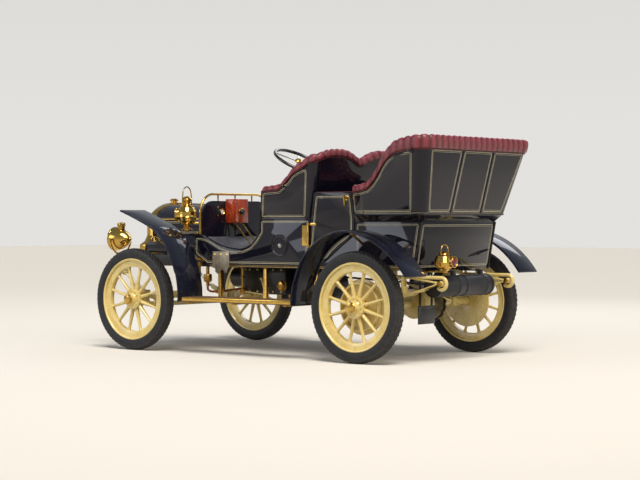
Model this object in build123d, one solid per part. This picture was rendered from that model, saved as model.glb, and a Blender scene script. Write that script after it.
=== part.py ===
"""A four-seat touring car of the brass era, with a side-entrance tonneau and an engine under the floor.

Millimetres. X runs forward, Y to the car's left and Z up. The origin lies on the ground,
midway between the axles and midway between the ends of the car.
"""
import os
from math import hypot

from build123d import *

os.makedirs("parts", exist_ok=True)

# Driving dimensions of the whole car
wheelbase = 2200.0
track = 1422.0
tyre_radius = 396.0
tyre_width = 92.0
front_reach = 590.0
rear_reach = 590.0

# Clearances
seat_gap = 0.3
running_gap = 0.05
door_gap = 10.0

# Wheels
rim_radius = 306.0
rim_width = 68.0
rim_thickness = 7.0
felloe_inner = 250.0
felloe_width = 44.0
spoke_count = 12
spoke_root = 15.0
spoke_tip = 11.0
hub_flange_radius = 79.0
hub_flange_width = 12.0
hub_radius = 46.0
hub_nose_radius = 34.0
hub_nose_end = 805.0
hub_inner_face = 664.0
spindle_radius = 18.0
drum_radius = 172.0
drum_lip_radius = 198.0
drum_inner_face = 640.0
drum_lip_width = 10.0

# Frame
rail_centre = 418.0
rail_width = 36.0
rail_bottom = 650.0
rail_top = 740.0
rail_nose = 110.0
rail_rear = -1385.0
cross_size = 60.0

# Front axle and steering
kingpin_half = 620.0
kingpin_radius = 12.0
knuckle_radius = 21.0
knuckle_height = 72.0
yoke_thickness = 15.0
axle_drop = 46.0
axle_beam = 36.0
rear_arm_length = 130.0
side_arm_length = 150.0
steer_arm_thickness = 14.0
steer_arm_width = 18.0
tie_rod_radius = 9.0
pitman_length = 150.0
pitman_setback = 50.0
drag_link_radius = 6.0
drag_eye_height = 14.0
steering_wheel_centre = (280.0, -300.0, 1475.0)
steering_wheel_radius = 200.0
steering_rim_radius = 13.0
column_slope = (0.474, 0.0, -0.880)
column_radius = 19.0
column_length = 955.0

# Springs
spring_width = 44.0
front_spring_span = 800.0
front_spring_eye_z = 600.0
leaf_thickness = 9.0
rear_eye_x = -1617.0
rear_eye_z = 563.0
rear_bar_radius = 13.0

# Rear axle
rear_axle_radius = 32.0

# Body
side_outer = 463.0
wall = 23.0
sill_z = 650.0
floor_top = 790.0
floor_thickness = 22.0
toe_x = 560.0
belt_z = 1017.0
cove_low = 994.0
cove_high = 1047.0
rear_bottom_x = -1415.0
rear_top_x = -1479.0
swoop_front = 595.0
swoop_top = 893.0
oval_x = -175.0
oval_z = 819.0
oval_radius = 80.0

# Seats
seat_front_low = 20.0
seat_back_low = -470.0
seat_front_rate = 0.19
seat_back_rate = 0.265
seat_flare_rate = 0.16
seat_loft_z = 1600.0
seat_box_front = -60.0
seat_board_z = 1000.0
cushion_height = 110.0
roll_overhang = 12.0
roll_inside = 52.0
tonneau_rear_low = -1530.0
tonneau_half_low = 547.0
tonneau_half_high = 701.0
tonneau_top = 1605.0
tonneau_box_front = -1080.0
tonneau_floor_z = 1047.0

# Doors
door_top = 1207.0
door_bottom = 700.0
door_front_low = -445.0
door_arc_start = -600.0
door_arc_low = 708.0
door_arc_middle = (-740.0, 808.0)
door_arc_high = 904.0
door_rear = -881.0
hinge_x = -457.0
hinge_y = 471.0
hinge_radius = 7.0
hinge_pin_radius = 4.0
hinge_low = 820.0
hinge_high = 970.0

# Dash, hood and radiator
dash_x = 680.0
dash_thickness = 20.0
dash_half = 383.0
dash_top = 1160.0
dash_corner = 120.0
rail_z = 1213.0
rail_reach = 22.0
dash_rail_radius = 9.0
coil_depth = 83.0
coil_left = 124.0
coil_right = -53.0
coil_low = 986.0
coil_rise = 15.0
hood_half = 275.0
hood_front_x = 1330.0
hood_hinge_z = 1018.0
hood_crown_front = 1146.0
hood_crown_rear = 1123.0
hood_sheet = 8.0
strip_radius = 7.0
skirt_half = 360.0
skirt_top_z = 888.0
skirt_bottom_z = 750.0
radiator_depth = 64.0
radiator_rim = 16.0

# Fenders and running boards
fender_sheet = 6.0
fender_margin = 67.0
front_fender_width = 264.0
rear_fender_width = 236.0
fender_foot_z = 397.0
board_front = 532.0
board_rear = -590.0
board_width = 251.0
board_margin = 54.0
board_thickness = 30.0
board_gap = 2.0
stay_radius = 9.0

# Lamps, muffler and the curled rear springs
lamp_radius = 97.5
lamp_overhang = 160.0
lamp_y = 350.0
lamp_z = 857.0
side_lamp_spot = (755.0, 485.0)
tail_lamp_spot = (-1580.0, 330.0, 713.0)
muffler_x = -1520.0
muffler_z = 540.0
muffler_radius = 75.0
spring_leaves = 5
eye_drop = 14.0
scroll_radius = 42.0
case_radius = 110.0
engine_front = 380.0
engine_rear = -40.0
engine_half = 240.0
engine_bottom = 440.0
drive_x = -250.0
drive_z = 515.0
drive_radius = 120.0
plate_y = 280.0
plate_low = 270.0
plate_high = 400.0
plate_half = 100.0
plate_hole_half = 70.0
plate_hole_radius = 3.5
stud_radius = 9.0
stud_length = 26.0
stud_boss = 14.0
front_stud = (-262.0, 509.0, 1258.0)
rear_stud = (-1540.0, 676.0, 1484.0)


def box(x_low, x_high, y_low, y_high, z_low, z_high):
    """A block between two opposite corners."""
    middle = ((x_low + x_high) / 2, (y_low + y_high) / 2, (z_low + z_high) / 2)
    return Pos(*middle) * Box(x_high - x_low, y_high - y_low, z_high - z_low)


def rod(start, end, radius):
    """A round bar from one point to another."""
    axis = Vector(*end) - Vector(*start)
    plane = Plane(origin=start, z_dir=axis.normalized())
    return extrude(plane * Circle(radius), amount=axis.length)


def pipe(points, bend, radius):
    """A bent round bar along straight runs joined by arcs."""
    path = FilletPolyline(*points, radius=bend)
    start = Vector(*points[0])
    plane = Plane(origin=start, z_dir=(Vector(*points[1]) - start).normalized())
    return sweep(plane * Circle(radius), path=path)


def side_plate(points, y_low, y_high):
    """A straight-edged outline in side view (x, z), between two values of Y."""
    outline = make_face(Polyline(*[(x, y_low, z) for x, z in points], close=True))
    return extrude(outline, amount=y_high - y_low, dir=(0, 1, 0))


def end_plate(points, x_low, x_high):
    """A straight-edged outline in end view (y, z), between two values of X."""
    outline = make_face(Polyline(*[(x_low, y, z) for y, z in points], close=True))
    return extrude(outline, amount=x_high - x_low, dir=(1, 0, 0))


def arcs(points, y):
    """Arcs in side view, each through three of the points in turn."""
    spots = [(x, y, z) for x, z in points]
    return [ThreePointArc(*spots[i:i + 3]) for i in range(0, len(spots) - 2, 2)]


def beside(points, distance):
    """The points of a side-view line, moved to its left by a distance."""
    moved = []
    for i, (x, z) in enumerate(points):
        x0, z0 = points[max(i - 1, 0)]
        x1, z1 = points[min(i + 1, len(points) - 1)]
        length = hypot(x1 - x0, z1 - z0)
        moved.append((x - (z1 - z0) / length * distance, z + (x1 - x0) / length * distance))
    return moved


def ribbon(points, thickness, y_low, y_high):
    """A curved sheet seen edge-on in side view, as arcs through the points."""
    inner = beside(points, -thickness)
    ends = [Line((*points[-1][:1], y_low, points[-1][1]), (inner[-1][0], y_low, inner[-1][1])),
            Line((inner[0][0], y_low, inner[0][1]), (points[0][0], y_low, points[0][1]))]
    face = make_face(arcs(points, y_low) + [ends[0]] + arcs(inner[::-1], y_low) + [ends[1]])
    return extrude(face, amount=y_high - y_low, dir=(0, 1, 0))


def mirrored(shape):
    """The same piece on the car's other side."""
    return mirror(shape, about=Plane.XZ)


def pair(shape):
    """A piece and its mirror image."""
    return [shape, mirrored(shape)]


def save(name, *shapes):
    """Write one node from its solids."""
    solids = [solid for shape in shapes for solid in shape.solids()]
    export_step(Compound(children=solids), f"parts/{name}.step")


# Places worked out from the driving dimensions
front_x = wheelbase / 2
rear_x = -wheelbase / 2
wheel_y = track / 2
axle_z = tyre_radius
rail_inner = rail_centre - rail_width / 2
rail_outer = rail_centre + rail_width / 2
lamp_front = front_x + front_reach
rail_front = lamp_front - lamp_overhang
pitman_x = front_x - front_spring_span / 2 - pitman_setback
fender_outer = wheel_y + tyre_width / 2 + fender_margin
board_outer = wheel_y + tyre_width / 2 + board_margin
board_inner = board_outer - board_width
board_top = fender_foot_z + board_thickness


def tyre():
    """A pneumatic tyre about the Y axis at the origin, its section in straight sides."""
    half = tyre_width / 2
    # columns: radius, half width
    section = [(rim_radius + seat_gap, half - 12), (rim_radius + 34, half),
               (tyre_radius - 16, half - 6), (tyre_radius, half - 26)]
    points = section + [(radius, -width) for radius, width in section[::-1]]
    return revolve(make_face(Polyline(*[(r, y, 0) for r, y in points], close=True)), Axis.Y)


def wheel(with_drum):
    """A wooden wheel with steel rim and hub, outer side towards +Y, about the origin."""
    inner_face = (drum_inner_face if with_drum else hub_inner_face) - wheel_y
    nose = hub_nose_end - wheel_y
    rim = revolve(Pos(rim_radius - rim_thickness / 2, 0, 0) * Rectangle(rim_thickness, rim_width), Axis.Y)
    felloe_outer = rim_radius - rim_thickness
    felloe_middle = (felloe_outer + felloe_inner) / 2
    rim += revolve(Pos(felloe_middle, 0, 0) * Rectangle(felloe_outer - felloe_inner, felloe_width), Axis.Y)
    # columns: radius, y
    hub_line = [(0, inner_face), (hub_radius, inner_face), (hub_radius, -felloe_width / 2),
                (hub_flange_radius, -felloe_width / 2), (hub_flange_radius, felloe_width / 2 + hub_flange_width),
                (hub_radius, felloe_width / 2 + hub_flange_width + 6), (hub_nose_radius, nose - 26),
                (hub_nose_radius - 4, nose), (0, nose)]
    hub = revolve(make_face(Polyline(*[(r, y, 0) for r, y in hub_line], close=True)), Axis.Y)
    body = rim + hub
    for turn in range(spoke_count):
        spoke = loft([Pos(0, 0, hub_flange_radius - 12) * Circle(spoke_root),
                      Pos(0, 0, felloe_inner + 6) * Circle(spoke_tip)])
        body += Rot(0, (turn + 0.5) * 360 / spoke_count, 0) * spoke
    if with_drum:
        drum_face = drum_inner_face - wheel_y
        drum_line = [(hub_radius - 8, drum_face + 6), (drum_radius - 4, drum_face), (drum_lip_radius, drum_face),
                     (drum_lip_radius, drum_face + drum_lip_width), (drum_radius, drum_face + drum_lip_width),
                     (drum_radius, -felloe_width / 2), (drum_radius - 10, -felloe_width / 2),
                     (drum_radius - 10, drum_face + 14), (hub_radius - 8, drum_face + 20)]
        body += revolve(make_face(Polyline(*[(r, y, 0) for r, y in drum_line], close=True)), Axis.Y)
    bore_depth = nose - 12 - (drum_inner_face - wheel_y)
    bore = Pos(0, drum_inner_face - wheel_y - 1 + bore_depth / 2, 0) * Rot(90, 0, 0) * Cylinder(
        spindle_radius + running_gap, bore_depth + 2)
    return body - bore


def wheels():
    """Four wheels and four tyres, each at its corner."""
    for end, x, with_drum in (("front", front_x, False), ("rear", rear_x, True)):
        left_wheel = Pos(x, wheel_y, axle_z) * wheel(with_drum)
        left_tyre = Pos(x, wheel_y, axle_z) * tyre()
        save(f"wheel_{end}_left", left_wheel)
        save(f"wheel_{end}_right", mirrored(left_wheel))
        save(f"tyre_{end}_left", left_tyre)
        save(f"tyre_{end}_right", mirrored(left_tyre))


def frame():
    """Two pressed side rails, joined by cross members that butt against them."""
    rails = []
    for side in (-1, 1):
        low = side * rail_centre - rail_width / 2
        taper = rail_front - rail_nose
        rails.append(side_plate([(rail_rear, rail_bottom), (rail_front, rail_bottom), (rail_front, rail_bottom + 30),
                                 (taper, rail_top), (rail_rear, rail_top)], low, low + rail_width))
    save("frame_rails", *rails)
    members = [box(x, x + cross_size, -rail_inner, rail_inner, rail_bottom, rail_top)
               for x in (hood_front_x, engine_front - 50, engine_rear - 20, drive_x - cross_size / 2, rail_rear)]
    save("frame_cross_members", *members)


def front_axle():
    """A dropped forged beam with a fork and kingpin at each end."""
    beam_z = axle_z - axle_drop
    beam_end = kingpin_half - 60
    half = axle_beam / 2
    outline = [(-beam_end, beam_z - half), (beam_end, beam_z - half), (kingpin_half - 22, axle_z - 52),
               (kingpin_half - 22, axle_z + 52), (kingpin_half - 36, axle_z + 52), (beam_end, beam_z + half),
               (-beam_end, beam_z + half), (-kingpin_half + 36, axle_z + 52), (-kingpin_half + 22, axle_z + 52),
               (-kingpin_half + 22, axle_z - 52)]
    body = end_plate(outline, front_x - half, front_x + half)
    jaw_z = knuckle_height / 2 + 1
    for side in (-1, 1):
        for up in (-1, 1):
            z = axle_z + up * (jaw_z + yoke_thickness / 2)
            low = min(side * (kingpin_half - 24), side * kingpin_half)
            high = max(side * (kingpin_half - 24), side * kingpin_half)
            body += box(front_x - half, front_x + half, low, high, z - yoke_thickness / 2, z + yoke_thickness / 2)
            body += Pos(front_x, side * kingpin_half, z) * Cylinder(half, yoke_thickness)
        body += Pos(front_x, side * kingpin_half, axle_z) * Cylinder(kingpin_radius, 2 * jaw_z + 2)
    save("front_axle", body)


def knuckle(side):
    """A steering knuckle with its spindle and steering arms."""
    pin = (front_x, side * kingpin_half, axle_z)
    body = Pos(*pin) * Cylinder(knuckle_radius, knuckle_height)
    spindle_end = hub_nose_end - 16
    body += rod((front_x, side * kingpin_half, axle_z), (front_x, side * spindle_end, axle_z), spindle_radius)
    arm_z = axle_z - 25
    half = steer_arm_width / 2
    body += box(front_x - rear_arm_length, front_x, pin[1] - half, pin[1] + half,
                arm_z - steer_arm_thickness / 2, arm_z + steer_arm_thickness / 2)
    body += Pos(front_x - rear_arm_length, pin[1], arm_z) * Cylinder(14, steer_arm_thickness)
    if side < 0:
        back = 58.0
        arm_z = axle_z + 20
        low, high = arm_z - steer_arm_thickness / 2, arm_z + steer_arm_thickness / 2
        body += box(front_x - back - half, front_x, pin[1] - half, pin[1] + half, low, high)
        body += box(front_x - back - half, front_x - back + half, pin[1], pin[1] + side_arm_length + half, low, high)
        body += box(front_x - back, front_x, pin[1] + side_arm_length - half, pin[1] + side_arm_length + half, low, high)
        body += Pos(front_x, pin[1] + side_arm_length, arm_z) * Cylinder(12, steer_arm_thickness)
    return body - Pos(*pin) * Cylinder(kingpin_radius + running_gap, knuckle_height + 2)


def steering():
    """Knuckles, tie rod, drag link, pitman arm, column and wheel."""
    save("knuckle_left", knuckle(1))
    save("knuckle_right", knuckle(-1))
    tie_x = front_x - rear_arm_length
    arm_bottom = axle_z - 25 - steer_arm_thickness / 2
    eye = 12.0
    tie_z = arm_bottom - seat_gap - eye / 2
    tie = rod((tie_x, -kingpin_half, tie_z), (tie_x, kingpin_half, tie_z), tie_rod_radius)
    tie = tie & box(tie_x - 20, tie_x + 20, -kingpin_half, kingpin_half, tie_z - eye / 2, tie_z + eye / 2)
    for side in (-1, 1):
        tie += Pos(tie_x, side * kingpin_half, tie_z) * Cylinder(15, eye)
    save("tie_rod", tie)
    link_y = -kingpin_half + side_arm_length
    link_low = axle_z + 20 + steer_arm_thickness / 2 + seat_gap
    link_z = link_low + drag_eye_height / 2
    link = rod((pitman_x, link_y, link_z), (front_x, link_y, link_z), drag_link_radius)
    link += Pos(front_x, link_y, link_z) * Cylinder(13, drag_eye_height)
    link += Pos(pitman_x, link_y, link_z) * Rot(90, 0, 0) * Cylinder(13, drag_eye_height)
    save("drag_link", link)
    arm_face = link_y + drag_eye_height / 2 + seat_gap
    top_z = link_z + pitman_length
    arm = box(pitman_x - 11, pitman_x + 11, arm_face, arm_face + 12, link_z, top_z)
    for z, radius in ((link_z, 14), (top_z, 19)):
        arm += Pos(pitman_x, arm_face + 6, z) * Rot(90, 0, 0) * Cylinder(radius, 12)
    shaft_inner = -rail_centre + 40
    arm += rod((pitman_x, shaft_inner, top_z), (pitman_x, arm_face + 2, top_z), 10)
    save("pitman_arm", arm)
    box_y = steering_wheel_centre[1]
    case_front = pitman_x + 120
    slope = Vector(*column_slope).normalized()
    top = Vector(*steering_wheel_centre)
    head = top + slope * 60
    foot = top + slope * column_length
    column = rod(tuple(head), tuple(foot), column_radius)
    column += box(pitman_x - 50, case_front, shaft_inner, box_y + 42, top_z - 50, top_z + 62)
    column -= rod((pitman_x, shaft_inner - 5, top_z), (pitman_x, shaft_inner + 30, top_z), 10 + running_gap)
    shaft_radius = 9.0
    column -= Plane(origin=tuple(head), z_dir=tuple(slope)) * Pos(0, 0, 20) * Cylinder(
        shaft_radius + running_gap, 60)
    save("steering_column", column)
    plane = Plane(origin=steering_wheel_centre, z_dir=tuple(-slope))
    ring = Torus(steering_wheel_radius, steering_rim_radius)
    rest = Cylinder(30, 20)
    for turn in range(4):
        rest += Rot(0, 0, 45 + 90 * turn) * Pos(steering_wheel_radius / 2 + 8, 0, 0) * Box(
            steering_wheel_radius - 20, 18, 8)
    rest += Pos(0, 0, -48) * Cylinder(shaft_radius, 90)
    save("steering_wheel", plane * (ring + rest))


def half_spring(eye_x, eye_z, seat_x, seat_z, y):
    """Stacked leaves, each shorter than the one above, from the seat to one eye."""
    pack = spring_leaves * leaf_thickness

    def spot(step, depth):
        share = step / spring_leaves
        return seat_x + (eye_x - seat_x) * share, seat_z + (eye_z - seat_z) * share ** 2 + pack - depth

    outline = [spot(step, 0) for step in range(spring_leaves + 1)]
    for leaf in range(spring_leaves):
        outline += [spot(spring_leaves - leaf, (leaf + 1) * leaf_thickness),
                    spot(spring_leaves - leaf - 1, (leaf + 1) * leaf_thickness)]
    return side_plate(outline, y - spring_width / 2, y + spring_width / 2)


def springs():
    """Half-elliptic front springs and rear springs hung from a curled bar."""
    seat_z = axle_z - axle_drop + axle_beam / 2
    pack = spring_leaves * leaf_thickness
    low_y, high_y = rail_centre - spring_width / 2, rail_centre + spring_width / 2
    front = None
    for side in (-1, 1):
        eye_x = front_x + side * front_spring_span / 2
        half = half_spring(eye_x, front_spring_eye_z - pack, front_x, seat_z, rail_centre)
        half += Pos(eye_x, rail_centre, front_spring_eye_z - eye_drop) * Rot(90, 0, 0) * Cylinder(16, spring_width)
        half += box(eye_x - 10, eye_x + 10, low_y, high_y, front_spring_eye_z - eye_drop, rail_bottom)
        front = half if front is None else front + half
    save("front_springs", *pair(front))
    saddle_z = axle_z + rear_axle_radius
    front_eye_x = 2 * rear_x - rear_eye_x
    top = rear_eye_z + eye_drop
    rear = half_spring(rear_eye_x, top - pack, rear_x, saddle_z, rail_centre)
    rear += half_spring(front_eye_x, top - pack, rear_x, saddle_z, rail_centre)
    for x in (rear_eye_x, front_eye_x):
        rear += Pos(x, rail_centre, rear_eye_z) * Rot(90, 0, 0) * Cylinder(20, spring_width)
    rear += box(front_eye_x - 12, front_eye_x + 12, low_y, high_y, rear_eye_z, rail_bottom)
    bar_z = rear_eye_z + scroll_radius
    bar_start = (rear_x - 100, rail_centre, bar_z)
    top_spot = (rear_eye_x, rail_centre, bar_z)
    back_spot = (rear_eye_x - scroll_radius, rail_centre, rear_eye_z)
    low_spot = (rear_eye_x, rail_centre, rear_eye_z - scroll_radius)
    path = Wire([Line(bar_start, top_spot).edge(), ThreePointArc(top_spot, back_spot, low_spot).edge()])
    rear += sweep(Plane(origin=bar_start, z_dir=(-1, 0, 0)) * Circle(rear_bar_radius), path=path)
    rear += rod((rear_x - 210, rail_centre, bar_z), (rear_eye_x, rail_centre, rear_eye_z), 8)
    for x in (rear_x - 105, rail_rear + 10):
        rear += box(x, x + 34, rail_inner, rail_outer, bar_z, rail_bottom)
    link_x = rear_x - 190
    link_low = saddle_z + pack + 8
    rear += box(link_x - 8, link_x + 8, rail_centre - 24, rail_centre + 24, link_low, bar_z)
    save("rear_springs", *pair(rear))


def rear_axle():
    """A tubular axle with a drive case in the middle and a spindle at each end."""
    body = rod((rear_x, -drum_inner_face + 6, axle_z), (rear_x, drum_inner_face - 6, axle_z), rear_axle_radius)
    body += rod((rear_x, -hub_nose_end + 16, axle_z), (rear_x, hub_nose_end - 16, axle_z), spindle_radius)
    body += Pos(rear_x, 0, axle_z) * Rot(90, 0, 0) * Cylinder(case_radius, 90)
    for side in (-1, 1):
        body += Pos(rear_x, side * 70, axle_z) * Rot(90, 0, 0) * Cone(
            case_radius * 0.8 if side > 0 else 44, 44 if side > 0 else case_radius * 0.8, 60)
        low = side * rail_centre - spring_width / 2
        body += box(rear_x - 45, rear_x + 45, low, low + spring_width, axle_z - 20, axle_z + rear_axle_radius)
    save("rear_axle", body)


def section_face(spots, z, corner):
    """A plan section from (x, half width) spots, front to rear, with its rear corners rounded."""
    points = [(x, half, z) for x, half in spots] + [(x, -half, z) for x, half in spots[::-1]]
    face = make_face(Polyline(*points, close=True))
    rear = spots[-1][0]
    corners = [vertex for vertex in face.vertices() if abs(vertex.X - rear) < 1]
    return fillet(corners, corner)


def moved_in(spots, distance, front_extra=0.0):
    """The same section, its sides and rear moved inwards."""
    inner = [(x, half - distance) for x, half in spots]
    inner[0] = (inner[0][0] + front_extra, inner[0][1])
    inner[-1] = (inner[-1][0] + distance, inner[-1][1])
    return inner


def tub(low, high, low_z, high_z, corners, inset=0.0, front_extra=0.0):
    """A solid between two plan sections, each moved inwards by the inset."""
    faces = [section_face(moved_in(spots, inset, front_extra), z, corner - inset * 0.5)
             for spots, z, corner in ((low, low_z, corners[0]), (high, high_z, corners[1]))]
    return loft(faces, ruled=True)


def below(points, y_low=-900.0, y_high=900.0):
    """Everything under a side-view line."""
    spots = [(points[0][0], 0.0)] + points + [(points[-1][0], 0.0)]
    return side_plate(spots, y_low, y_high)


def below_back(points):
    """Everything under a rear-view line of (y, z), mirrored about the middle."""
    spots = [(-y, z) for y, z in points] + points[-2::-1]
    return end_plate([(spots[0][0], 0.0)] + spots + [(spots[-1][0], 0.0)], -2000.0, 400.0)


def raised(points, heights):
    """A line of points with each one lifted by its own height."""
    return [(a, z + height) for (a, z), height in zip(points, heights)]


def lower_body():
    """The painted lower sides, sills and rear panel, in one piece."""
    front_end = dash_x + dash_thickness
    sill_top = door_bottom - door_gap
    edges = [ThreePointArc((swoop_front, 0, swoop_top), (427, 0, 818), (270, 0, floor_top)),
             ThreePointArc((270, 0, floor_top), (114, 0, 821), (seat_front_low, 0, 930)),
             Polyline((seat_front_low, 0, 930), (seat_front_low, 0, belt_z), (seat_back_low, 0, belt_z),
                      (door_front_low + door_gap, 0, sill_top), (door_arc_start, 0, sill_top),
                      (door_arc_start, 0, door_arc_low - door_gap)),
             ThreePointArc((door_arc_start, 0, door_arc_low - door_gap),
                           (door_arc_middle[0], 0, door_arc_middle[1] - door_gap),
                           (door_rear, 0, door_arc_high - door_gap)),
             Polyline((door_rear, 0, door_arc_high - door_gap), (door_rear - door_gap, 0, door_arc_high - door_gap),
                      (door_rear - door_gap, 0, cove_low), (rear_top_x, 0, cove_low),
                      (rear_bottom_x, 0, sill_z), (front_end - 140, 0, sill_z), (front_end, 0, skirt_bottom_z),
                      (front_end, 0, swoop_top + 6), (swoop_front, 0, swoop_top))]
    side = Pos(0, side_outer - wall, 0) * extrude(make_face(edges), amount=wall, dir=(0, 1, 0))
    rear = side_plate([(rear_bottom_x, sill_z), (rear_bottom_x + wall, sill_z), (rear_top_x + wall, cove_low),
                       (rear_top_x, cove_low)], -side_outer, side_outer)
    ring_plane = Plane(origin=(oval_x, side_outer + 1, oval_z), z_dir=(0, 1, 0))
    ring = ring_plane * Torus(oval_radius, 4) + ring_plane * Torus(oval_radius - 14, 3)
    save("lower_body", side + ring + mirrored(side + ring) + rear)


def floor():
    """Floor boards, toe board and the two closed seat boxes."""
    low = floor_top - floor_thickness
    inner = side_outer - wall
    boards = box(rear_bottom_x + wall + 6, toe_x, -inner, inner, low, floor_top)
    for side in (-1, 1):
        edge, far = side * (inner - door_gap), side * (inner + 1)
        boards -= box(door_rear - door_gap, door_front_low + 2 * door_gap, min(edge, far), max(edge, far), low, floor_top)
    toe = side_plate([(toe_x, low), (dash_x, 880 - floor_thickness), (dash_x, 880), (toe_x - 4, floor_top)],
                     -dash_half, dash_half)
    reach = inner - door_gap
    bearers = [box(x, x + 60, -reach, reach, rail_top, low) for x in (470.0, 0.0, -520.0, -1150.0)]
    body = boards + toe
    for bearer in bearers:
        body += bearer
    slope = Vector(*column_slope).normalized()
    top = Vector(*steering_wheel_centre)
    hole = rod(tuple(top + slope * 500), tuple(top + slope * 900), column_radius + 1)
    save("floor", body - hole)
    front_box = box(seat_back_low + 6, seat_box_front, -inner, inner, floor_top, seat_board_z)
    rear_box = side_plate([(tonneau_box_front, floor_top), (tonneau_box_front, tonneau_floor_z),
                           (rear_top_x + wall + 8, tonneau_floor_z), (rear_top_x + wall + 8, cove_low),
                           (rear_bottom_x + wall + 12, floor_top)], -inner, inner)
    save("seat_boxes", front_box, rear_box)


def seat_sections():
    """Plan sections of the front seat at the belt and above its top."""
    rise = seat_loft_z - belt_z
    half = side_outer + rise * seat_flare_rate
    low = [(seat_front_low, side_outer), (seat_back_low, side_outer)]
    high = [(seat_front_low - rise * seat_front_rate, half), (seat_back_low - rise * seat_back_rate, half)]
    return low, high, belt_z, seat_loft_z, (46.0, 80.0)


def tonneau_sections():
    """Plan sections of the tonneau above its cove and at its top."""
    low = [(door_rear - door_gap, 476.0), (door_rear - 130, 520.0), (tonneau_rear_low, tonneau_half_low)]
    high = [(door_rear - door_gap, 560.0), (door_rear - 130, 632.0), (rear_x - rear_reach + roll_overhang, tonneau_half_high)]
    return low, high, cove_high, tonneau_top, (80.0, 110.0)


def stud(spot):
    """A round stud with a boss, pointing outwards, that a folding top's bow would hang on."""
    x, y, z = spot
    boss = rod((x, y - 30, z), (x, y, z), stud_boss)
    return boss + rod((x, y, z), (x, y + stud_length, z), stud_radius)


def shell_and_leather(name, sections, floor_z, side_line, back_line, side_lifts, back_lift, seat_front, stud_spot):
    """A hollow seat shell with a roll on its edge, a lining inside and a cushion."""
    far = 80.0
    trimmed = below(side_line) & below_back(back_line)
    inside = tub(*sections, wall, far)
    shell = (tub(*sections) - inside) & trimmed
    for piece in pair(stud(stud_spot)):
        shell += piece - inside
    save(f"{name}_shell", shell)
    lifted = below(raised(side_line, side_lifts)) & below_back(raised(back_line, [back_lift] * len(back_line)))
    clear = below(raised(side_line, [seat_gap] * len(side_line)))
    clear = clear & below_back(raised(back_line, [seat_gap] * len(back_line)))
    ring = tub(*sections, -roll_overhang) - tub(*sections, wall + roll_inside, far)
    roll = (ring & lifted) - clear
    lining = tub(*sections, wall + seat_gap) - tub(*sections, wall + roll_inside, far)
    lining = lining & trimmed
    lining -= box(-3000, 1000, -900, 900, 0, floor_z + cushion_height + 2 * seat_gap)
    save(f"{name}_backrest", lining + roll)
    cushion = tub(*sections, wall + roll_inside * 0.2 + seat_gap)
    cushion = cushion & box(-3000, seat_front, -900, 900, floor_z + seat_gap, floor_z + cushion_height)
    save(f"{name}_cushion", cushion)


def seats():
    """Front seat and tonneau, each a painted shell with its leather."""
    # columns: x, z
    arm_line = [(seat_front_low + 30, 1224), (-118, 1235), (-194, 1239), (-239, 1267), (-298, 1311),
                (-343, 1356), (-416, 1388), (-480, 1412), (-520, 1540), (-800, 1540)]
    # columns: y, z
    hump_line = [(700, 1390), (560, 1422), (525, 1439), (440, 1470), (348, 1484), (213, 1484), (130, 1468),
                 (75, 1446), (0, 1413)]
    shell_and_leather("front_seat", seat_sections(), seat_board_z, arm_line, hump_line,
                      [34, 36, 40, 46, 50, 52, 54, 56, 0, 0], 54.0, seat_box_front, front_stud)
    # columns: x, z
    side_line = [(-800, 1214), (-1003, 1220), (-1084, 1240), (-1129, 1275), (-1182, 1323), (-1235, 1385),
                 (-1296, 1443), (-1366, 1483), (-1452, 1497), (-1614, 1508), (-1900, 1512)]
    shell_and_leather("tonneau", tonneau_sections(), tonneau_floor_z, side_line, [(900, 1512), (0, 1512)],
                      [44, 46, 50, 56, 62, 66, 72, 80, 88, 93, 93], 93.0, tonneau_box_front, rear_stud)
    lower = [(door_rear - door_gap, side_outer), (door_rear - 130, side_outer), (rear_top_x, side_outer)]
    upper = tonneau_sections()[0]
    cove = tub(lower, upper, cove_low, cove_high, (20.0, 80.0))
    inner = side_outer - wall
    cove -= box(rear_top_x + wall + 8, 0, -inner, inner, 0, cove_high + 1)
    save("tonneau_cove", cove)


def door_edge(z):
    """The door's front edge at a height."""
    if z > belt_z:
        return seat_back_low - door_gap - (z - belt_z) * seat_back_rate
    low_z = door_bottom
    return door_front_low + (z - low_z) / (belt_z - low_z) * (seat_back_low - door_gap - door_front_low)


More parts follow.
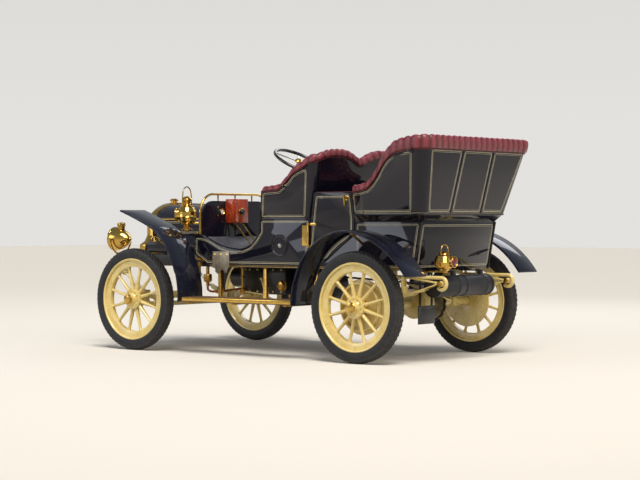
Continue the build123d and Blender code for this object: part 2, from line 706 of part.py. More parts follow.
def doors():
    """Two front-hinged side doors, whose lower edges follow the rear fenders."""
    edges = [Polyline((door_edge(door_bottom), 0, door_bottom), (door_edge(belt_z), 0, belt_z),
                      (door_edge(door_top), 0, door_top), (door_rear, 0, door_top), (door_rear, 0, door_arc_high)),
             ThreePointArc((door_rear, 0, door_arc_high), (door_arc_middle[0], 0, door_arc_middle[1]),
                           (door_arc_start, 0, door_arc_low)),
             Polyline((door_arc_start, 0, door_arc_low), (door_arc_start, 0, door_bottom),
                      (door_edge(door_bottom), 0, door_bottom))]
    outline = Pos(0, 300, 0) * extrude(make_face(edges), amount=400, dir=(0, 1, 0))
    top_y = side_outer + (door_top - belt_z) * seat_flare_rate
    section = end_plate([(side_outer, 0), (side_outer, belt_z), (top_y, door_top), (top_y - wall, door_top),
                         (side_outer - wall, belt_z), (side_outer - wall, 0)], door_rear - 10, 0)
    door = outline & section
    handle = rod((door_rear + 50, top_y - 14, 1168), (door_rear + 50, top_y + 20, 1168), 8)
    handle += rod((door_rear + 50, top_y + 20, 1115), (door_rear + 50, top_y + 20, 1182), 7)
    door += handle
    hinge = box(hinge_x, hinge_x + 62, side_outer, side_outer + 4, hinge_low, hinge_high)
    hinge += Pos(hinge_x, hinge_y, (hinge_low + hinge_high) / 2) * Cylinder(hinge_radius, hinge_high - hinge_low)
    hinge -= Pos(hinge_x, hinge_y, (hinge_low + hinge_high) / 2) * Cylinder(
        hinge_pin_radius + running_gap, hinge_high - hinge_low + 2)
    door += Pos(hinge_x, hinge_y, (hinge_low + hinge_high) / 2) * Cylinder(hinge_pin_radius, hinge_high - hinge_low + 4)
    for z in (hinge_low - 8 - seat_gap, hinge_high + 8 + seat_gap):
        door += Pos(hinge_x, hinge_y, z) * Cylinder(hinge_radius, 16)
        door += box(hinge_x - 60, hinge_x, side_outer + seat_gap, side_outer + 4, z - 8, z + 8)
        door += box(hinge_x - 60, hinge_x - 30, side_outer - 2, side_outer + 4, z - 8, z + 8)
    save("door_left", door)
    save("door_right", mirrored(door))
    save("door_hinges", *pair(hinge))


def dash():
    """Dash board, its brass rail and the wooden coil box."""
    low_z = 880.0
    face = Plane(origin=(dash_x, 0, 0), x_dir=(0, 1, 0), z_dir=(1, 0, 0)) * Pos(0, (low_z + dash_top) / 2) * Rectangle(
        2 * dash_half, dash_top - low_z)
    corners = [vertex for vertex in face.vertices() if vertex.Z > dash_top - 1]
    board = extrude(fillet(corners, dash_corner), amount=dash_thickness, dir=(1, 0, 0))
    board += box(dash_x, dash_x + dash_thickness, -side_outer + wall, side_outer - wall, skirt_bottom_z, low_z)
    slope = Vector(*column_slope).normalized()
    top = Vector(*steering_wheel_centre)
    board -= rod(tuple(top + slope * 500), tuple(top + slope * 950), column_radius + 1)
    save("dash", board)
    rail_x = dash_x + dash_thickness / 2
    rail = pipe([(rail_x, -dash_half - rail_reach, low_z), (rail_x, -dash_half - rail_reach, rail_z), (rail_x, dash_half + rail_reach, rail_z),
                 (rail_x, dash_half + rail_reach, low_z)], 150.0, dash_rail_radius)
    for y in (-200.0, 0.0, 200.0):
        rail += rod((rail_x, y, dash_top), (rail_x, y, rail_z), 6)
    for side in (-1, 1):
        rail += rod((rail_x, side * dash_half, 930), (rail_x, side * (dash_half + rail_reach), 930), 6)
    save("dash_rail", rail)
    coil = box(dash_x - coil_depth, dash_x, coil_right, coil_left, coil_low, dash_top + coil_rise)
    knob_z = (coil_low + dash_top) / 2
    knob_y = (coil_right + coil_left) / 2 - 5
    coil += rod((dash_x - coil_depth, knob_y, knob_z), (dash_x - coil_depth - 25, knob_y, knob_z), 24)
    save("coil_box", coil)


def arch(x, half, crown, low_z):
    """The end face of the hood's arched top at one place."""
    arc = ThreePointArc((x, -half, low_z), (x, 0, crown), (x, half, low_z))
    return make_face([arc.edge(), Line((x, half, low_z), (x, -half, low_z)).edge()])


def hood_outline(x, inset, low_z):
    """The whole end outline of hood and flared skirt at one place."""
    half = hood_half - inset
    wide = skirt_half - inset
    crown = hood_crown_front - inset
    arc = ThreePointArc((x, -half, hood_hinge_z), (x, 0, crown), (x, half, hood_hinge_z))
    sides = Polyline((x, half, hood_hinge_z), (x, half, skirt_top_z), (x, half + 30, skirt_top_z - 46),
                     (x, wide, skirt_top_z - 74), (x, wide, low_z), (x, -wide, low_z), (x, -wide, skirt_top_z - 74),
                     (x, -half - 30, skirt_top_z - 46), (x, -half, skirt_top_z), (x, -half, hood_hinge_z))
    return make_face([arc.edge()] + sides.edges())


def hood():
    """The hood with two hinged side flaps, its skirts, the fuel tank inside and the radiator."""
    back = dash_x + dash_thickness
    outer = loft([arch(back, hood_half, hood_crown_rear, hood_hinge_z),
                  arch(hood_front_x, hood_half, hood_crown_front, hood_hinge_z)], ruled=True)
    inner = loft([arch(back, hood_half - hood_sheet, hood_crown_rear - hood_sheet, hood_hinge_z),
                  arch(hood_front_x, hood_half - hood_sheet, hood_crown_front - hood_sheet, hood_hinge_z)], ruled=True)
    top = outer - inner
    for side in (-1, 1):
        top += rod((back, side * (hood_half - 4), hood_hinge_z), (hood_front_x, side * (hood_half - 4), hood_hinge_z),
                   strip_radius)
    skirt = extrude(hood_outline(back, 0, skirt_bottom_z), amount=hood_front_x - back, dir=(1, 0, 0))
    skirt -= extrude(hood_outline(back - 1, hood_sheet, skirt_bottom_z - 20), amount=hood_front_x - back + 2, dir=(1, 0, 0))
    skirt = skirt & box(back, hood_front_x, -900, 900, skirt_bottom_z, skirt_top_z)
    save("hood", top, skirt)
    flap_top = hood_hinge_z - strip_radius - seat_gap
    flap = box(back + 5, hood_front_x - 5, hood_half - hood_sheet, hood_half, skirt_top_z + 5, flap_top)
    save("hood_flap_left", flap)
    save("hood_flap_right", mirrored(flap))
    tank = box(back + 40, hood_front_x - 220, -210, 210, 905, 1040)
    for x in (back + 60, hood_front_x - 280):
        tank += box(x, x + 40, -200, 200, rail_top, 905)
        tank += box(x, x + 40, -rail_outer, rail_outer, rail_top, skirt_bottom_z - seat_gap)
    save("fuel_tank", tank)
    shell = extrude(hood_outline(hood_front_x, -6, skirt_bottom_z - 10), amount=radiator_depth, dir=(1, 0, 0))
    opening = extrude(hood_outline(hood_front_x - 1, radiator_rim, skirt_bottom_z + 30), amount=radiator_depth + 2, dir=(1, 0, 0))
    save("radiator_shell", shell - opening)
    core = extrude(hood_outline(hood_front_x + 6, radiator_rim + seat_gap, skirt_bottom_z + 30 + seat_gap),
                   amount=radiator_depth - 16, dir=(1, 0, 0))
    save("radiator_core", core)


def fenders():
    """Four fenders, two running boards and the stays that carry them."""
    # columns: x, z, from the upper front end rearwards and down
    front_curve = [(1144, 1084), (1005, 1034), (860, 976), (750, 912), (640, 784), (566, 640),
                   (board_front, fender_foot_z)]
    rear_curve = [(board_rear, fender_foot_z), (-612, 560), (-700, 744), (-868, 880), (-1069, 933), (-1330, 857),
                  (-1605, 621)]
    front = ribbon(front_curve, fender_sheet, fender_outer - front_fender_width, fender_outer)
    rear = ribbon(rear_curve, fender_sheet, fender_outer - rear_fender_width, fender_outer)
    save("front_fenders", *pair(front))
    save("rear_fenders", *pair(rear))
    board_end = fender_sheet + board_gap
    board = box(board_rear + board_end, board_front - board_end, board_inner, board_outer, fender_foot_z, board_top)
    save("running_boards", *pair(board))
    stays = []
    low = fender_foot_z
    for x in (board_front - 72, (board_front + board_rear) / 2 + 29, board_rear + 90):
        bar = box(x - 15, x + 15, rail_centre - 15, board_outer - 20, low - 12, low)
        bar += box(x - 15, x + 15, rail_centre - 15, rail_centre + 15, low - 12, rail_bottom)
        stays += pair(bar)
    front_block = ribbon(front_curve, 80, 500, 900)
    rear_block = ribbon(rear_curve, 80, 500, 900)
    # columns: x and z at the body, x and z past the fender, cutting block, half width of the body there
    for x0, z0, x1, z1, block, face in ((916, 700, 824, 985, front_block, rail_outer),
                                        (600, 690, 596, 760, front_block, side_outer),
                                        (-960, 830, -960, 960, rear_block, side_outer),
                                        (-1300, 790, -1300, 900, rear_block, side_outer)):
        stay = rod((x0, face - 10, z0), (x1, 680, z1), stay_radius) - block
        stay -= box(x0 - 100, x0 + 100, 300, face, z0 - 100, z0 + 100)
        stays += pair(max(stay.solids(), key=lambda solid: solid.volume))
    save("fender_stays", *stays)


def lamps():
    """Two headlamps, two side lamps and one tail lamp."""
    front = lamp_front
    # columns: x behind the front face, radius
    bowl = [(0, 88), (0, lamp_radius), (26, lamp_radius), (70, lamp_radius - 12), (120, 62), (158, 30), (170, 0)]
    face = make_face(Polyline(*([(0, 0, 0)] + [(-x, r, 0) for x, r in bowl]), close=True))
    head = Pos(front, lamp_y, lamp_z) * revolve(face, Axis.X)
    head += Pos(front - 70, lamp_y, lamp_z + lamp_radius) * Cylinder(34, 34)
    head += rod((front - 60, lamp_y, lamp_z - lamp_radius + 20), (front - 60, lamp_y, rail_top - 60), 12)
    head += box(rail_front - 60, front - 40, lamp_y - 14, lamp_y + 14, rail_top - 64, rail_top - 50)
    head += box(rail_front - 60, rail_front - 20, lamp_y - 14, rail_inner, rail_top - 64, rail_top - 50)
    save("headlamps", *pair(head))
    # columns: radius, z
    body = [(0, 930), (48, 930), (48, 940), (24, 948), (24, 975), (58, 990), (75, 1030), (75, 1075), (58, 1112),
            (30, 1124), (30, 1160), (40, 1166), (40, 1178), (26, 1190), (0, 1196)]
    face = make_face(Polyline(*[(r, 0, z) for r, z in body], close=True))
    side_x, side_y = side_lamp_spot
    lamp = Pos(side_x, side_y, 0) * revolve(face, Axis.Z)
    post = Vector(dash_x + dash_thickness / 2, dash_half + rail_reach, 985)
    away = (Vector(side_x, side_y, 985) - post).normalized()
    lamp += rod((side_x, side_y, 985), tuple(post + away * (dash_rail_radius + seat_gap)), 9)
    bail = pipe([(side_x, side_y - 46, 1100), (side_x, side_y - 46, 1268), (side_x, side_y + 46, 1268),
                 (side_x, side_y + 46, 1100)], 45.0, 4.0)
    lamp += bail
    save("side_lamps", *pair(lamp))
    tail_x, tail_y, tail_z = tail_lamp_spot
    body = [(0, -62), (40, -62), (40, -52), (60, -40), (73, 0), (60, 40), (34, 52), (34, 68), (0, 72)]
    face = make_face(Polyline(*[(r, 0, z) for r, z in body], close=True))
    tail = Pos(tail_x, tail_y, tail_z) * revolve(face, Axis.Z)
    tail += rod((tail_x, tail_y, tail_z), (tail_x - 82, tail_y, tail_z), 34)
    tail += pipe([(tail_x, tail_y - 40, tail_z + 30), (tail_x, tail_y - 40, tail_z + 122),
                  (tail_x, tail_y + 40, tail_z + 122), (tail_x, tail_y + 40, tail_z + 30)], 38.0, 3.5)
    tail += box(tail_x - 14, rear_bottom_x + wall - 2, tail_y - 14, tail_y + 14, sill_z - 12, sill_z)
    tail += rod((tail_x, tail_y, sill_z - 2), (tail_x, tail_y, tail_z - 60), 16)
    save("tail_lamp", tail)


def engine():
    """A two-cylinder engine lying under the floor, its gear case, chain and muffler."""
    block = box(engine_rear, engine_front, -engine_half, engine_half, engine_bottom, rail_bottom)
    for side in (-1, 1):
        block += rod((engine_front, side * 90, 560), (engine_front + 220, side * 90, 560), 75)
    save("engine", block)
    case = rod((drive_x, -120, drive_z), (drive_x, 160, drive_z), drive_radius)
    case += box(drive_x - cross_size / 2, drive_x + cross_size / 2, -80, 80, drive_z + 60, rail_bottom)
    save("transmission", case)
    muffler = rod((muffler_x, -270, muffler_z), (muffler_x, rail_inner - spring_width / 2, muffler_z), muffler_radius)
    for y in (-200.0, 140.0):
        muffler += rod((muffler_x, y - 15, muffler_z), (muffler_x, y + 15, muffler_z), muffler_radius + 3)
        muffler += box(muffler_x - 15, muffler_x + 15, y - 15, y + 15, muffler_z + muffler_radius, sill_z)
        muffler += box(muffler_x - 15, rail_rear + 40, y - 15, y + 15, sill_z - 12, sill_z)
    save("muffler", muffler)


def number_plate():
    """A blank plate on two straps under the rear cross member."""
    x = rail_rear
    body = box(x - 5, x, plate_y - plate_half, plate_y + plate_half, plate_low, plate_high)
    for side in (-1, 1):
        y = plate_y + side * plate_hole_half
        body += box(x, x + 5, y - 10, y + 10, plate_low + 20, rail_bottom)
        body -= rod((x - 6, y, plate_high - 20), (x + 6, y, plate_high - 20), plate_hole_radius)
    save("number_plate", body)


wheels()
frame()
front_axle()
steering()
springs()
rear_axle()
lower_body()
floor()
seats()
doors()
dash()
hood()
fenders()
lamps()
engine()
number_plate()
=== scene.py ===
"""Dresses a brass era touring car for its portrait: coach enamel, brass, leather, wood and rubber.

Metres. X runs forward, Y to the car's left and Z up, with the ground at zero.
"""

import logging
import math
from dataclasses import dataclass
from enum import Enum
from typing import Callable, Iterable, Sequence

import bmesh
import bpy
from mathutils import Matrix, Vector, noise
from mathutils.bvhtree import BVHTree

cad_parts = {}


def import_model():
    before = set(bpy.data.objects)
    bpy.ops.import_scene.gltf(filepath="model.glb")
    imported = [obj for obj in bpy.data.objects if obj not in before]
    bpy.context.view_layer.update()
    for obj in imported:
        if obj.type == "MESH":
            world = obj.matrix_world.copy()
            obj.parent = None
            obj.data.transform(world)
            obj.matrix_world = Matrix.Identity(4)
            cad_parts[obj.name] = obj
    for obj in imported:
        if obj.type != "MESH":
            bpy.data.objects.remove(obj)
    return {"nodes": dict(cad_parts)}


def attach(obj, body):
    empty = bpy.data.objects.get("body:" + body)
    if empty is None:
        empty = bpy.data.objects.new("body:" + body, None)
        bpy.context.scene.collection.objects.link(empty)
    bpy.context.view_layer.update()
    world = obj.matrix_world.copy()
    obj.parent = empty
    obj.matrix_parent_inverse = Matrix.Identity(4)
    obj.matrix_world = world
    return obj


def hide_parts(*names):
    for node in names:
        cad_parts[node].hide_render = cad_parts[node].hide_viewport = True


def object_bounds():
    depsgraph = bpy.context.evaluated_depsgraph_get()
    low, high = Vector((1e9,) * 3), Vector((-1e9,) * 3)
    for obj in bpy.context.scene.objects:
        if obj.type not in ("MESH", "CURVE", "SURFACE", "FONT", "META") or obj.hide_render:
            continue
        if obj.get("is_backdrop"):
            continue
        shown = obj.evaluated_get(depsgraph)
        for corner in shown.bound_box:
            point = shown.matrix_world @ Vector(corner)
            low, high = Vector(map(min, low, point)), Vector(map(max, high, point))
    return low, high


log = logging.getLogger("car")

Point = Sequence[float]
SMOOTH_ANGLE = math.radians(32)
WELD = 1e-5


class Body(Enum):
    """The moving groups of the frame that new pieces ride on."""

    CHASSIS = "chassis"
    WHEEL_FRONT_LEFT = "wheel_front_left"
    WHEEL_FRONT_RIGHT = "wheel_front_right"
    WHEEL_REAR_LEFT = "wheel_rear_left"
    WHEEL_REAR_RIGHT = "wheel_rear_right"
    KNUCKLE_LEFT = "knuckle_left"
    KNUCKLE_RIGHT = "knuckle_right"
    TIE_ROD = "tie_rod"
    DRAG_LINK = "drag_link"
    PITMAN_ARM = "pitman_arm"
    STEERING_WHEEL = "steering_wheel"
    DOOR_LEFT = "door_left"
    DOOR_RIGHT = "door_right"
    FLAP_LEFT = "hood_flap_left"
    FLAP_RIGHT = "hood_flap_right"


class Slot(Enum):
    """The record's material slots."""

    BODY = "body_paint"
    FENDER = "fender_paint"
    CHASSIS = "chassis_paint"
    MUFFLER = "muffler_black"
    CREAM = "cream_paint"
    BRASS = "brass"
    TYRE = "tyre"
    LEATHER = "leather"
    BOARD = "board"
    WOOD = "coil_wood"
    RIM = "black_rim"


def linear(colour: str) -> tuple[float, float, float, float]:
    """Turns an sRGB hex colour to linear light.

    Args:
        colour: Six hex digits with a leading hash.

    Returns:
        Red, green, blue and an alpha of one.
    """
    parts = [int(colour[i:i + 2], 16) / 255 for i in (1, 3, 5)]
    lit = [c / 12.92 if c <= 0.04045 else ((c + 0.055) / 1.055) ** 2.4 for c in parts]
    return lit[0], lit[1], lit[2], 1.0


def per_mm(size: float) -> float:
    """The scale that gives a pattern features of this many millimetres."""
    return 1000.0 / size


def add_node(tree: bpy.types.NodeTree, kind: str, inputs: dict | None = None, **settings: object) -> bpy.types.Node:
    """Adds a shader node with its settings and links.

    Args:
        tree: The material's nodes.
        kind: The node's type name.
        inputs: Values or output sockets by input name or index.
        **settings: Properties of the node itself.

    Returns:
        The new node.
    """
    node = tree.nodes.new(kind)
    for name, value in settings.items():
        setattr(node, name, value)
    for key, value in (inputs or {}).items():
        if isinstance(value, bpy.types.NodeSocket):
            tree.links.new(value, node.inputs[key])
        else:
            node.inputs[key].default_value = value
    return node


@dataclass(frozen=True)
class Finish:
    """A surface with two colours that drift into each other, a gloss that varies and a fine relief.

    The relief is two layers: a grain of small size and a slow wave of large size.
    """

    name: str
    base: str
    drift: str
    patch_mm: float
    grain_mm: float
    grain_depth_mm: float
    gloss: tuple[float, float]
    metallic: float = 0.0
    wave_mm: float = 0.0
    wave_depth_mm: float = 0.0
    coat: float = 0.0
    coat_roughness: float = 0.05
    sheen: float = 0.0
    ior: float | None = None
    stretch: tuple[float, float, float] = (1.0, 1.0, 1.0)

    def place(self, tree: bpy.types.NodeTree) -> bpy.types.NodeSocket:
        """Gives the place on the piece that the patterns read.

        Args:
            tree: The material's nodes.

        Returns:
            A vector in the car's metres, drawn out along the grain.
        """
        where = add_node(tree, "ShaderNodeTexCoord")
        mapping = add_node(tree, "ShaderNodeMapping", {"Vector": where.outputs["Object"], "Scale": self.stretch})
        return mapping.outputs["Vector"]

    def clouds(self, tree: bpy.types.NodeTree, spot: bpy.types.NodeSocket, size: float,
               detail: float = 3.0) -> bpy.types.NodeSocket:
        """A soft noise from 0 to 1 with patches of a given size in millimetres."""
        made = add_node(tree, "ShaderNodeTexNoise", {"Vector": spot, "Scale": per_mm(size), "Detail": detail})
        return made.outputs["Fac"]

    def colour(self, tree: bpy.types.NodeTree, spot: bpy.types.NodeSocket) -> bpy.types.NodeSocket:
        """Mixes the two colours by a cloudy pattern."""
        spread = add_node(
            tree, "ShaderNodeMapRange", {"Value": self.clouds(tree, spot, self.patch_mm), "From Min": 0.35,
                                         "From Max": 0.7})
        mix = add_node(tree, "ShaderNodeMix", {0: spread.outputs[0], 6: linear(self.base), 7: linear(self.drift)},
                       data_type="RGBA")
        return mix.outputs[2]

    def grain(self, tree: bpy.types.NodeTree, spot: bpy.types.NodeSocket) -> bpy.types.NodeSocket:
        """The height of the fine relief, from 0 to 1."""
        return self.clouds(tree, spot, self.grain_mm, 4.0)

    def relief(self, tree: bpy.types.NodeTree, spot: bpy.types.NodeSocket) -> bpy.types.NodeSocket:
        """Turns the grain and the slow wave into a surface normal."""
        fine = add_node(tree, "ShaderNodeBump", {"Height": self.grain(tree, spot), "Strength": 1.0,
                                                 "Distance": self.grain_depth_mm / 1000})
        if not self.wave_mm:
            return fine.outputs[0]
        slow = add_node(
            tree, "ShaderNodeBump", {"Height": self.clouds(tree, spot, self.wave_mm, 1.0), "Strength": 1.0,
                                     "Distance": self.wave_depth_mm / 1000, "Normal": fine.outputs[0]})
        return slow.outputs[0]

    def roughness(self, tree: bpy.types.NodeTree, spot: bpy.types.NodeSocket) -> bpy.types.NodeSocket:
        """Spreads the gloss between its two ends."""
        spread = add_node(
            tree, "ShaderNodeMapRange", {"Value": self.clouds(tree, spot, self.patch_mm * 0.4, 5.0), "From Min": 0.3,
                                         "From Max": 0.75, "To Min": self.gloss[0], "To Max": self.gloss[1]})
        return spread.outputs[0]

    def make(self) -> bpy.types.Material:
        """Builds the material.

        Returns:
            A node material with the finish's name.
        """
        material = bpy.data.materials.new(self.name)
        material.use_nodes = True
        tree = material.node_tree
        tree.nodes.clear()
        spot = self.place(tree)
        inputs = {"Base Color": self.colour(tree, spot), "Roughness": self.roughness(tree, spot),
                  "Normal": self.relief(tree, spot), "Metallic": self.metallic, "Coat Weight": self.coat,
                  "Coat Roughness": self.coat_roughness, "Sheen Weight": self.sheen}
        if self.ior is not None:
            inputs["IOR"] = self.ior
        shader = add_node(tree, "ShaderNodeBsdfPrincipled", inputs)
        self.extra(tree, shader, spot)
        add_node(tree, "ShaderNodeOutputMaterial", {"Surface": shader.outputs[0]})
        return material

    def extra(self, tree: bpy.types.NodeTree, shader: bpy.types.Node, spot: bpy.types.NodeSocket) -> None:
        """Adds what only this kind of finish has."""


@dataclass(frozen=True)
class Wood(Finish):
    """Varnished wood whose figure runs along one axis."""

    ring_mm: float = 9.0

    def colour(self, tree: bpy.types.NodeTree, spot: bpy.types.NodeSocket) -> bpy.types.NodeSocket:
        """Long wavering bands of early and late wood."""
        bands = add_node(tree, "ShaderNodeTexWave", {"Vector": spot, "Scale": per_mm(self.ring_mm) / 20,
                                                     "Distortion": 7.0, "Detail": 3.0, "Detail Scale": 1.4})
        mix = add_node(tree, "ShaderNodeMix", {0: bands.outputs["Fac"], 6: linear(self.base), 7: linear(self.drift)},
                       data_type="RGBA")
        return mix.outputs[2]


@dataclass(frozen=True)
class Leather(Finish):
    """Buffed hide: pebbled grain, with painted shade in its creases and a painted pink highlight on its crests."""

    # Painted shade for the creases and a painted highlight, a pink sheen, for the crests.
    crease_shade: str = "#3A0A10"
    crest: str = "#A8505A"

    def grain(self, tree: bpy.types.NodeTree, spot: bpy.types.NodeSocket) -> bpy.types.NodeSocket:
        """Rounded cells with creases between them."""
        cells = add_node(tree, "ShaderNodeTexVoronoi", {"Vector": spot, "Scale": per_mm(self.grain_mm)},
                         feature="DISTANCE_TO_EDGE")
        edge = add_node(tree, "ShaderNodeMapRange", {"Value": cells.outputs["Distance"], "From Max": 0.25})
        return edge.outputs[0]

    def colour(self, tree: bpy.types.NodeTree, spot: bpy.types.NodeSocket) -> bpy.types.NodeSocket:
        """The hide's drift of colour, with painted shade in the creases and a painted highlight on the crests, both
        read from the piece's own fold attribute.
        """
        hide = super().colour(tree, spot)
        fold = add_node(tree, "ShaderNodeAttribute", attribute_name="fold")
        # deep lays painted shade in the creases; high lays a painted highlight on the crests.
        deep = add_node(tree, "ShaderNodeMapRange", {"Value": fold.outputs["Fac"], "From Min": 0.0, "From Max": 0.55,
                                                     "To Min": 0.85, "To Max": 0.0})
        high = add_node(tree, "ShaderNodeMapRange", {"Value": fold.outputs["Fac"], "From Min": 0.7, "From Max": 1.0,
                                                     "To Min": 0.0, "To Max": 0.35})
        crease_shaded = add_node(
            tree, "ShaderNodeMix", {0: deep.outputs[0], 6: hide, 7: linear(self.crease_shade)}, data_type="RGBA")
        pale = add_node(
            tree, "ShaderNodeMix", {0: high.outputs[0], 6: crease_shaded.outputs[2], 7: linear(self.crest)}, data_type="RGBA")
        return pale.outputs[2]


@dataclass(frozen=True)
class Brass(Finish):
    """Hand-polished brass with a brown bloom left where the cloth can't reach."""

    bloom: str = "#7A5320"

    def colour(self, tree: bpy.types.NodeTree, spot: bpy.types.NodeSocket) -> bpy.types.NodeSocket:
        """Bright metal that goes brown in its corners."""
        bright = super().colour(tree, spot)
        corner = add_node(tree, "ShaderNodeAmbientOcclusion", {"Distance": 0.012}, samples=4, only_local=True)
        dull = add_node(tree, "ShaderNodeMapRange", {"Value": corner.outputs["AO"], "From Min": 0.35, "From Max": 0.9,
                                                     "To Min": 0.75, "To Max": 0.0})
        mix = add_node(
            tree, "ShaderNodeMix", {0: dull.outputs[0], 6: bright, 7: linear(self.bloom)}, data_type="RGBA")
        return mix.outputs[2]


@dataclass(frozen=True)
class RoadRubber(Finish):
    """Moulded rubber with pale road dust caught on the parts that meet the ground."""

    dust: str = "#5E5850"

    def colour(self, tree: bpy.types.NodeTree, spot: bpy.types.NodeSocket) -> bpy.types.NodeSocket:
        """Black rubber with dust by the piece's own wear attribute."""
        plain = super().colour(tree, spot)
        worn = add_node(tree, "ShaderNodeAttribute", attribute_name="wear")
        cloud = add_node(tree, "ShaderNodeMath", {0: self.clouds(tree, spot, 22.0, 5.0), 1: worn.outputs["Fac"]},
                         operation="MULTIPLY")
        share = add_node(tree, "ShaderNodeMapRange", {"Value": cloud.outputs[0], "From Min": 0.1, "From Max": 0.8,
                                                      "To Min": 0.0, "To Max": 0.55})
        mix = add_node(tree, "ShaderNodeMix", {0: share.outputs[0], 6: plain, 7: linear(self.dust)}, data_type="RGBA")
        return mix.outputs[2]


@dataclass(frozen=True)
class LampGlass(Finish):
    """Clear or coloured glass that lets light through."""

    clear: float = 1.0

    def extra(self, tree: bpy.types.NodeTree, shader: bpy.types.Node, spot: bpy.types.NodeSocket) -> None:
        """Lets the light through."""
        shader.inputs["Transmission Weight"].default_value = self.clear


# Nitrocellulose coach enamel, brushed and flatted over a blue-black ground: a deep mirror that shows
# the ground and sky, with a slight brushed wave.
COACH_ENAMEL = Finish(
    "coach_enamel_midnight", "#0F0E18", "#171521", 420.0, 4.0, 0.004, (0.16, 0.26), wave_mm=160.0, wave_depth_mm=0.35,
    coat=0.85, coat_roughness=0.03, ior=1.12)
# Stoved enamel on thin steel sheet: a little bluer and greyer than the body, with dust in its gloss.
FENDER_ENAMEL = Finish(
    "stoved_enamel_blue_black", "#12131F", "#1E2130", 300.0, 3.0, 0.01, (0.2, 0.34), wave_mm=120.0, wave_depth_mm=0.3,
    coat=0.8, coat_roughness=0.06, ior=1.15)
# Chassis black brushed on cast and pressed steel: satin, with oil and dust in its texture.
CHASSIS_BLACK = Finish(
    "brushed_chassis_black", "#0E0E10", "#1D1B1A", 90.0, 2.5, 0.05, (0.3, 0.55), coat=0.3, coat_roughness=0.2)
# Heat-proof stove black on rolled sheet: dull and slightly chalky.
STOVE_BLACK = Finish(
    "stove_black_sheet", "#141418", "#202026", 60.0, 1.6, 0.03, (0.42, 0.6), coat=0.15, coat_roughness=0.3)
# Cream coach paint under varnish, which has yellowed it: warm, smooth and fairly glossy.
CREAM_VARNISH = Finish(
    "varnished_cream_paint", "#E7D18A", "#D9BE6C", 70.0, 3.0, 0.02, (0.22, 0.36), coat=0.7, coat_roughness=0.08)
POLISHED_BRASS = Brass(
    "polished_brass", "#E3BE68", "#CFA24A", 34.0, 1.2, 0.006, (0.07, 0.2), metallic=1.0, wave_mm=26.0,
    wave_depth_mm=0.03)
CAST_BRASS = Brass("cast_brass_fittings", "#C99F52", "#A87B37", 14.0, 1.5, 0.05, (0.22, 0.42), metallic=1.0)
DRAWN_COPPER = Finish("drawn_copper_pipe", "#B8683E", "#8A4A2C", 18.0, 1.5, 0.02, (0.2, 0.38), metallic=1.0)
# Sand-cast aluminium, dulled: the sand leaves a fine pebble that scatters the light.
SAND_CAST = Finish("sand_cast_aluminium", "#B3AA97", "#8F8674", 40.0, 1.8, 0.12, (0.42, 0.6), metallic=0.75)
NICKEL = Finish("nickel_plate", "#C9C6BE", "#B2AEA6", 25.0, 1.0, 0.004, (0.1, 0.22), metallic=1.0)
FORGED_STEEL = Finish("oiled_forged_steel", "#4A4744", "#2E2A28", 22.0, 1.5, 0.06, (0.3, 0.5), metallic=0.9)
RUBBER = RoadRubber("moulded_black_rubber", "#17171A", "#222226", 40.0, 1.4, 0.05, (0.48, 0.68), ior=1.5)
# Oxblood hide; its finish also paints shade in the creases and a highlight on the crests.
HIDE = Leather(
    "buttoned_oxblood_hide", "#76202C", "#611824", 60.0, 2.6, 0.22, (0.3, 0.46), wave_mm=18.0, wave_depth_mm=0.5,
    coat=0.25, coat_roughness=0.25, ior=1.5)
CHERRY = Wood(
    "varnished_cherry", "#B9431B", "#96300F", 60.0, 1.2, 0.03, (0.22, 0.34), coat=0.8, coat_roughness=0.06,
    stretch=(1.0, 4.0, 1.0))
# Brown battleship linoleum on oak: a waxed matt sheet with a fine mottle.
LINOLEUM = Finish(
    "waxed_brown_linoleum", "#5A3F26", "#6E5030", 12.0, 1.5, 0.05, (0.4, 0.6), coat=0.1, coat_roughness=0.3)
OAK = Wood(
    "varnished_oak", "#6B4423", "#4C2E16", 60.0, 1.4, 0.05, (0.3, 0.45), coat=0.5, coat_roughness=0.1,
    stretch=(0.3, 4.0, 4.0))
FLOOR_RUBBER = Finish("ribbed_floor_rubber", "#3E4048", "#4C4E56", 80.0, 2.0, 0.04, (0.4, 0.55))
EBONITE = Finish("turned_ebonite", "#0D0C0D", "#181516", 50.0, 1.5, 0.006, (0.14, 0.26), coat=0.6)
LINE_PAINT = Finish("hand_drawn_line_paint", "#CFC7A4", "#B7AE8C", 30.0, 1.5, 0.01, (0.3, 0.42), coat=0.4)
GOLD_LINE = Finish("gold_size_line", "#C9A95C", "#AE8C43", 30.0, 1.5, 0.01, (0.28, 0.4), metallic=0.5)
DIAL_WHITE = Finish("fired_dial_enamel", "#EFEDE6", "#E2DFD6", 20.0, 2.0, 0.004, (0.12, 0.2), coat=0.8)
CLEAR_GLASS = LampGlass("pressed_lamp_glass", "#F4F6F2", "#ECEFE9", 30.0, 6.0, 0.02, (0.02, 0.06), ior=1.5)
RUBY_GLASS = LampGlass(
    "ruby_lamp_glass", "#8E0A14", "#6E050E", 20.0, 5.0, 0.03, (0.04, 0.09), ior=1.52, clear=0.35, coat=0.6)


class PaintShop:
    """Makes each finish once and hands out its material."""

    made: dict[str, bpy.types.Material] = {}

    @classmethod
    def get(cls, finish: Finish) -> bpy.types.Material:
        """The finish's material, built on first use."""
        if finish.name not in cls.made:
            cls.made[finish.name] = finish.make()
        return cls.made[finish.name]


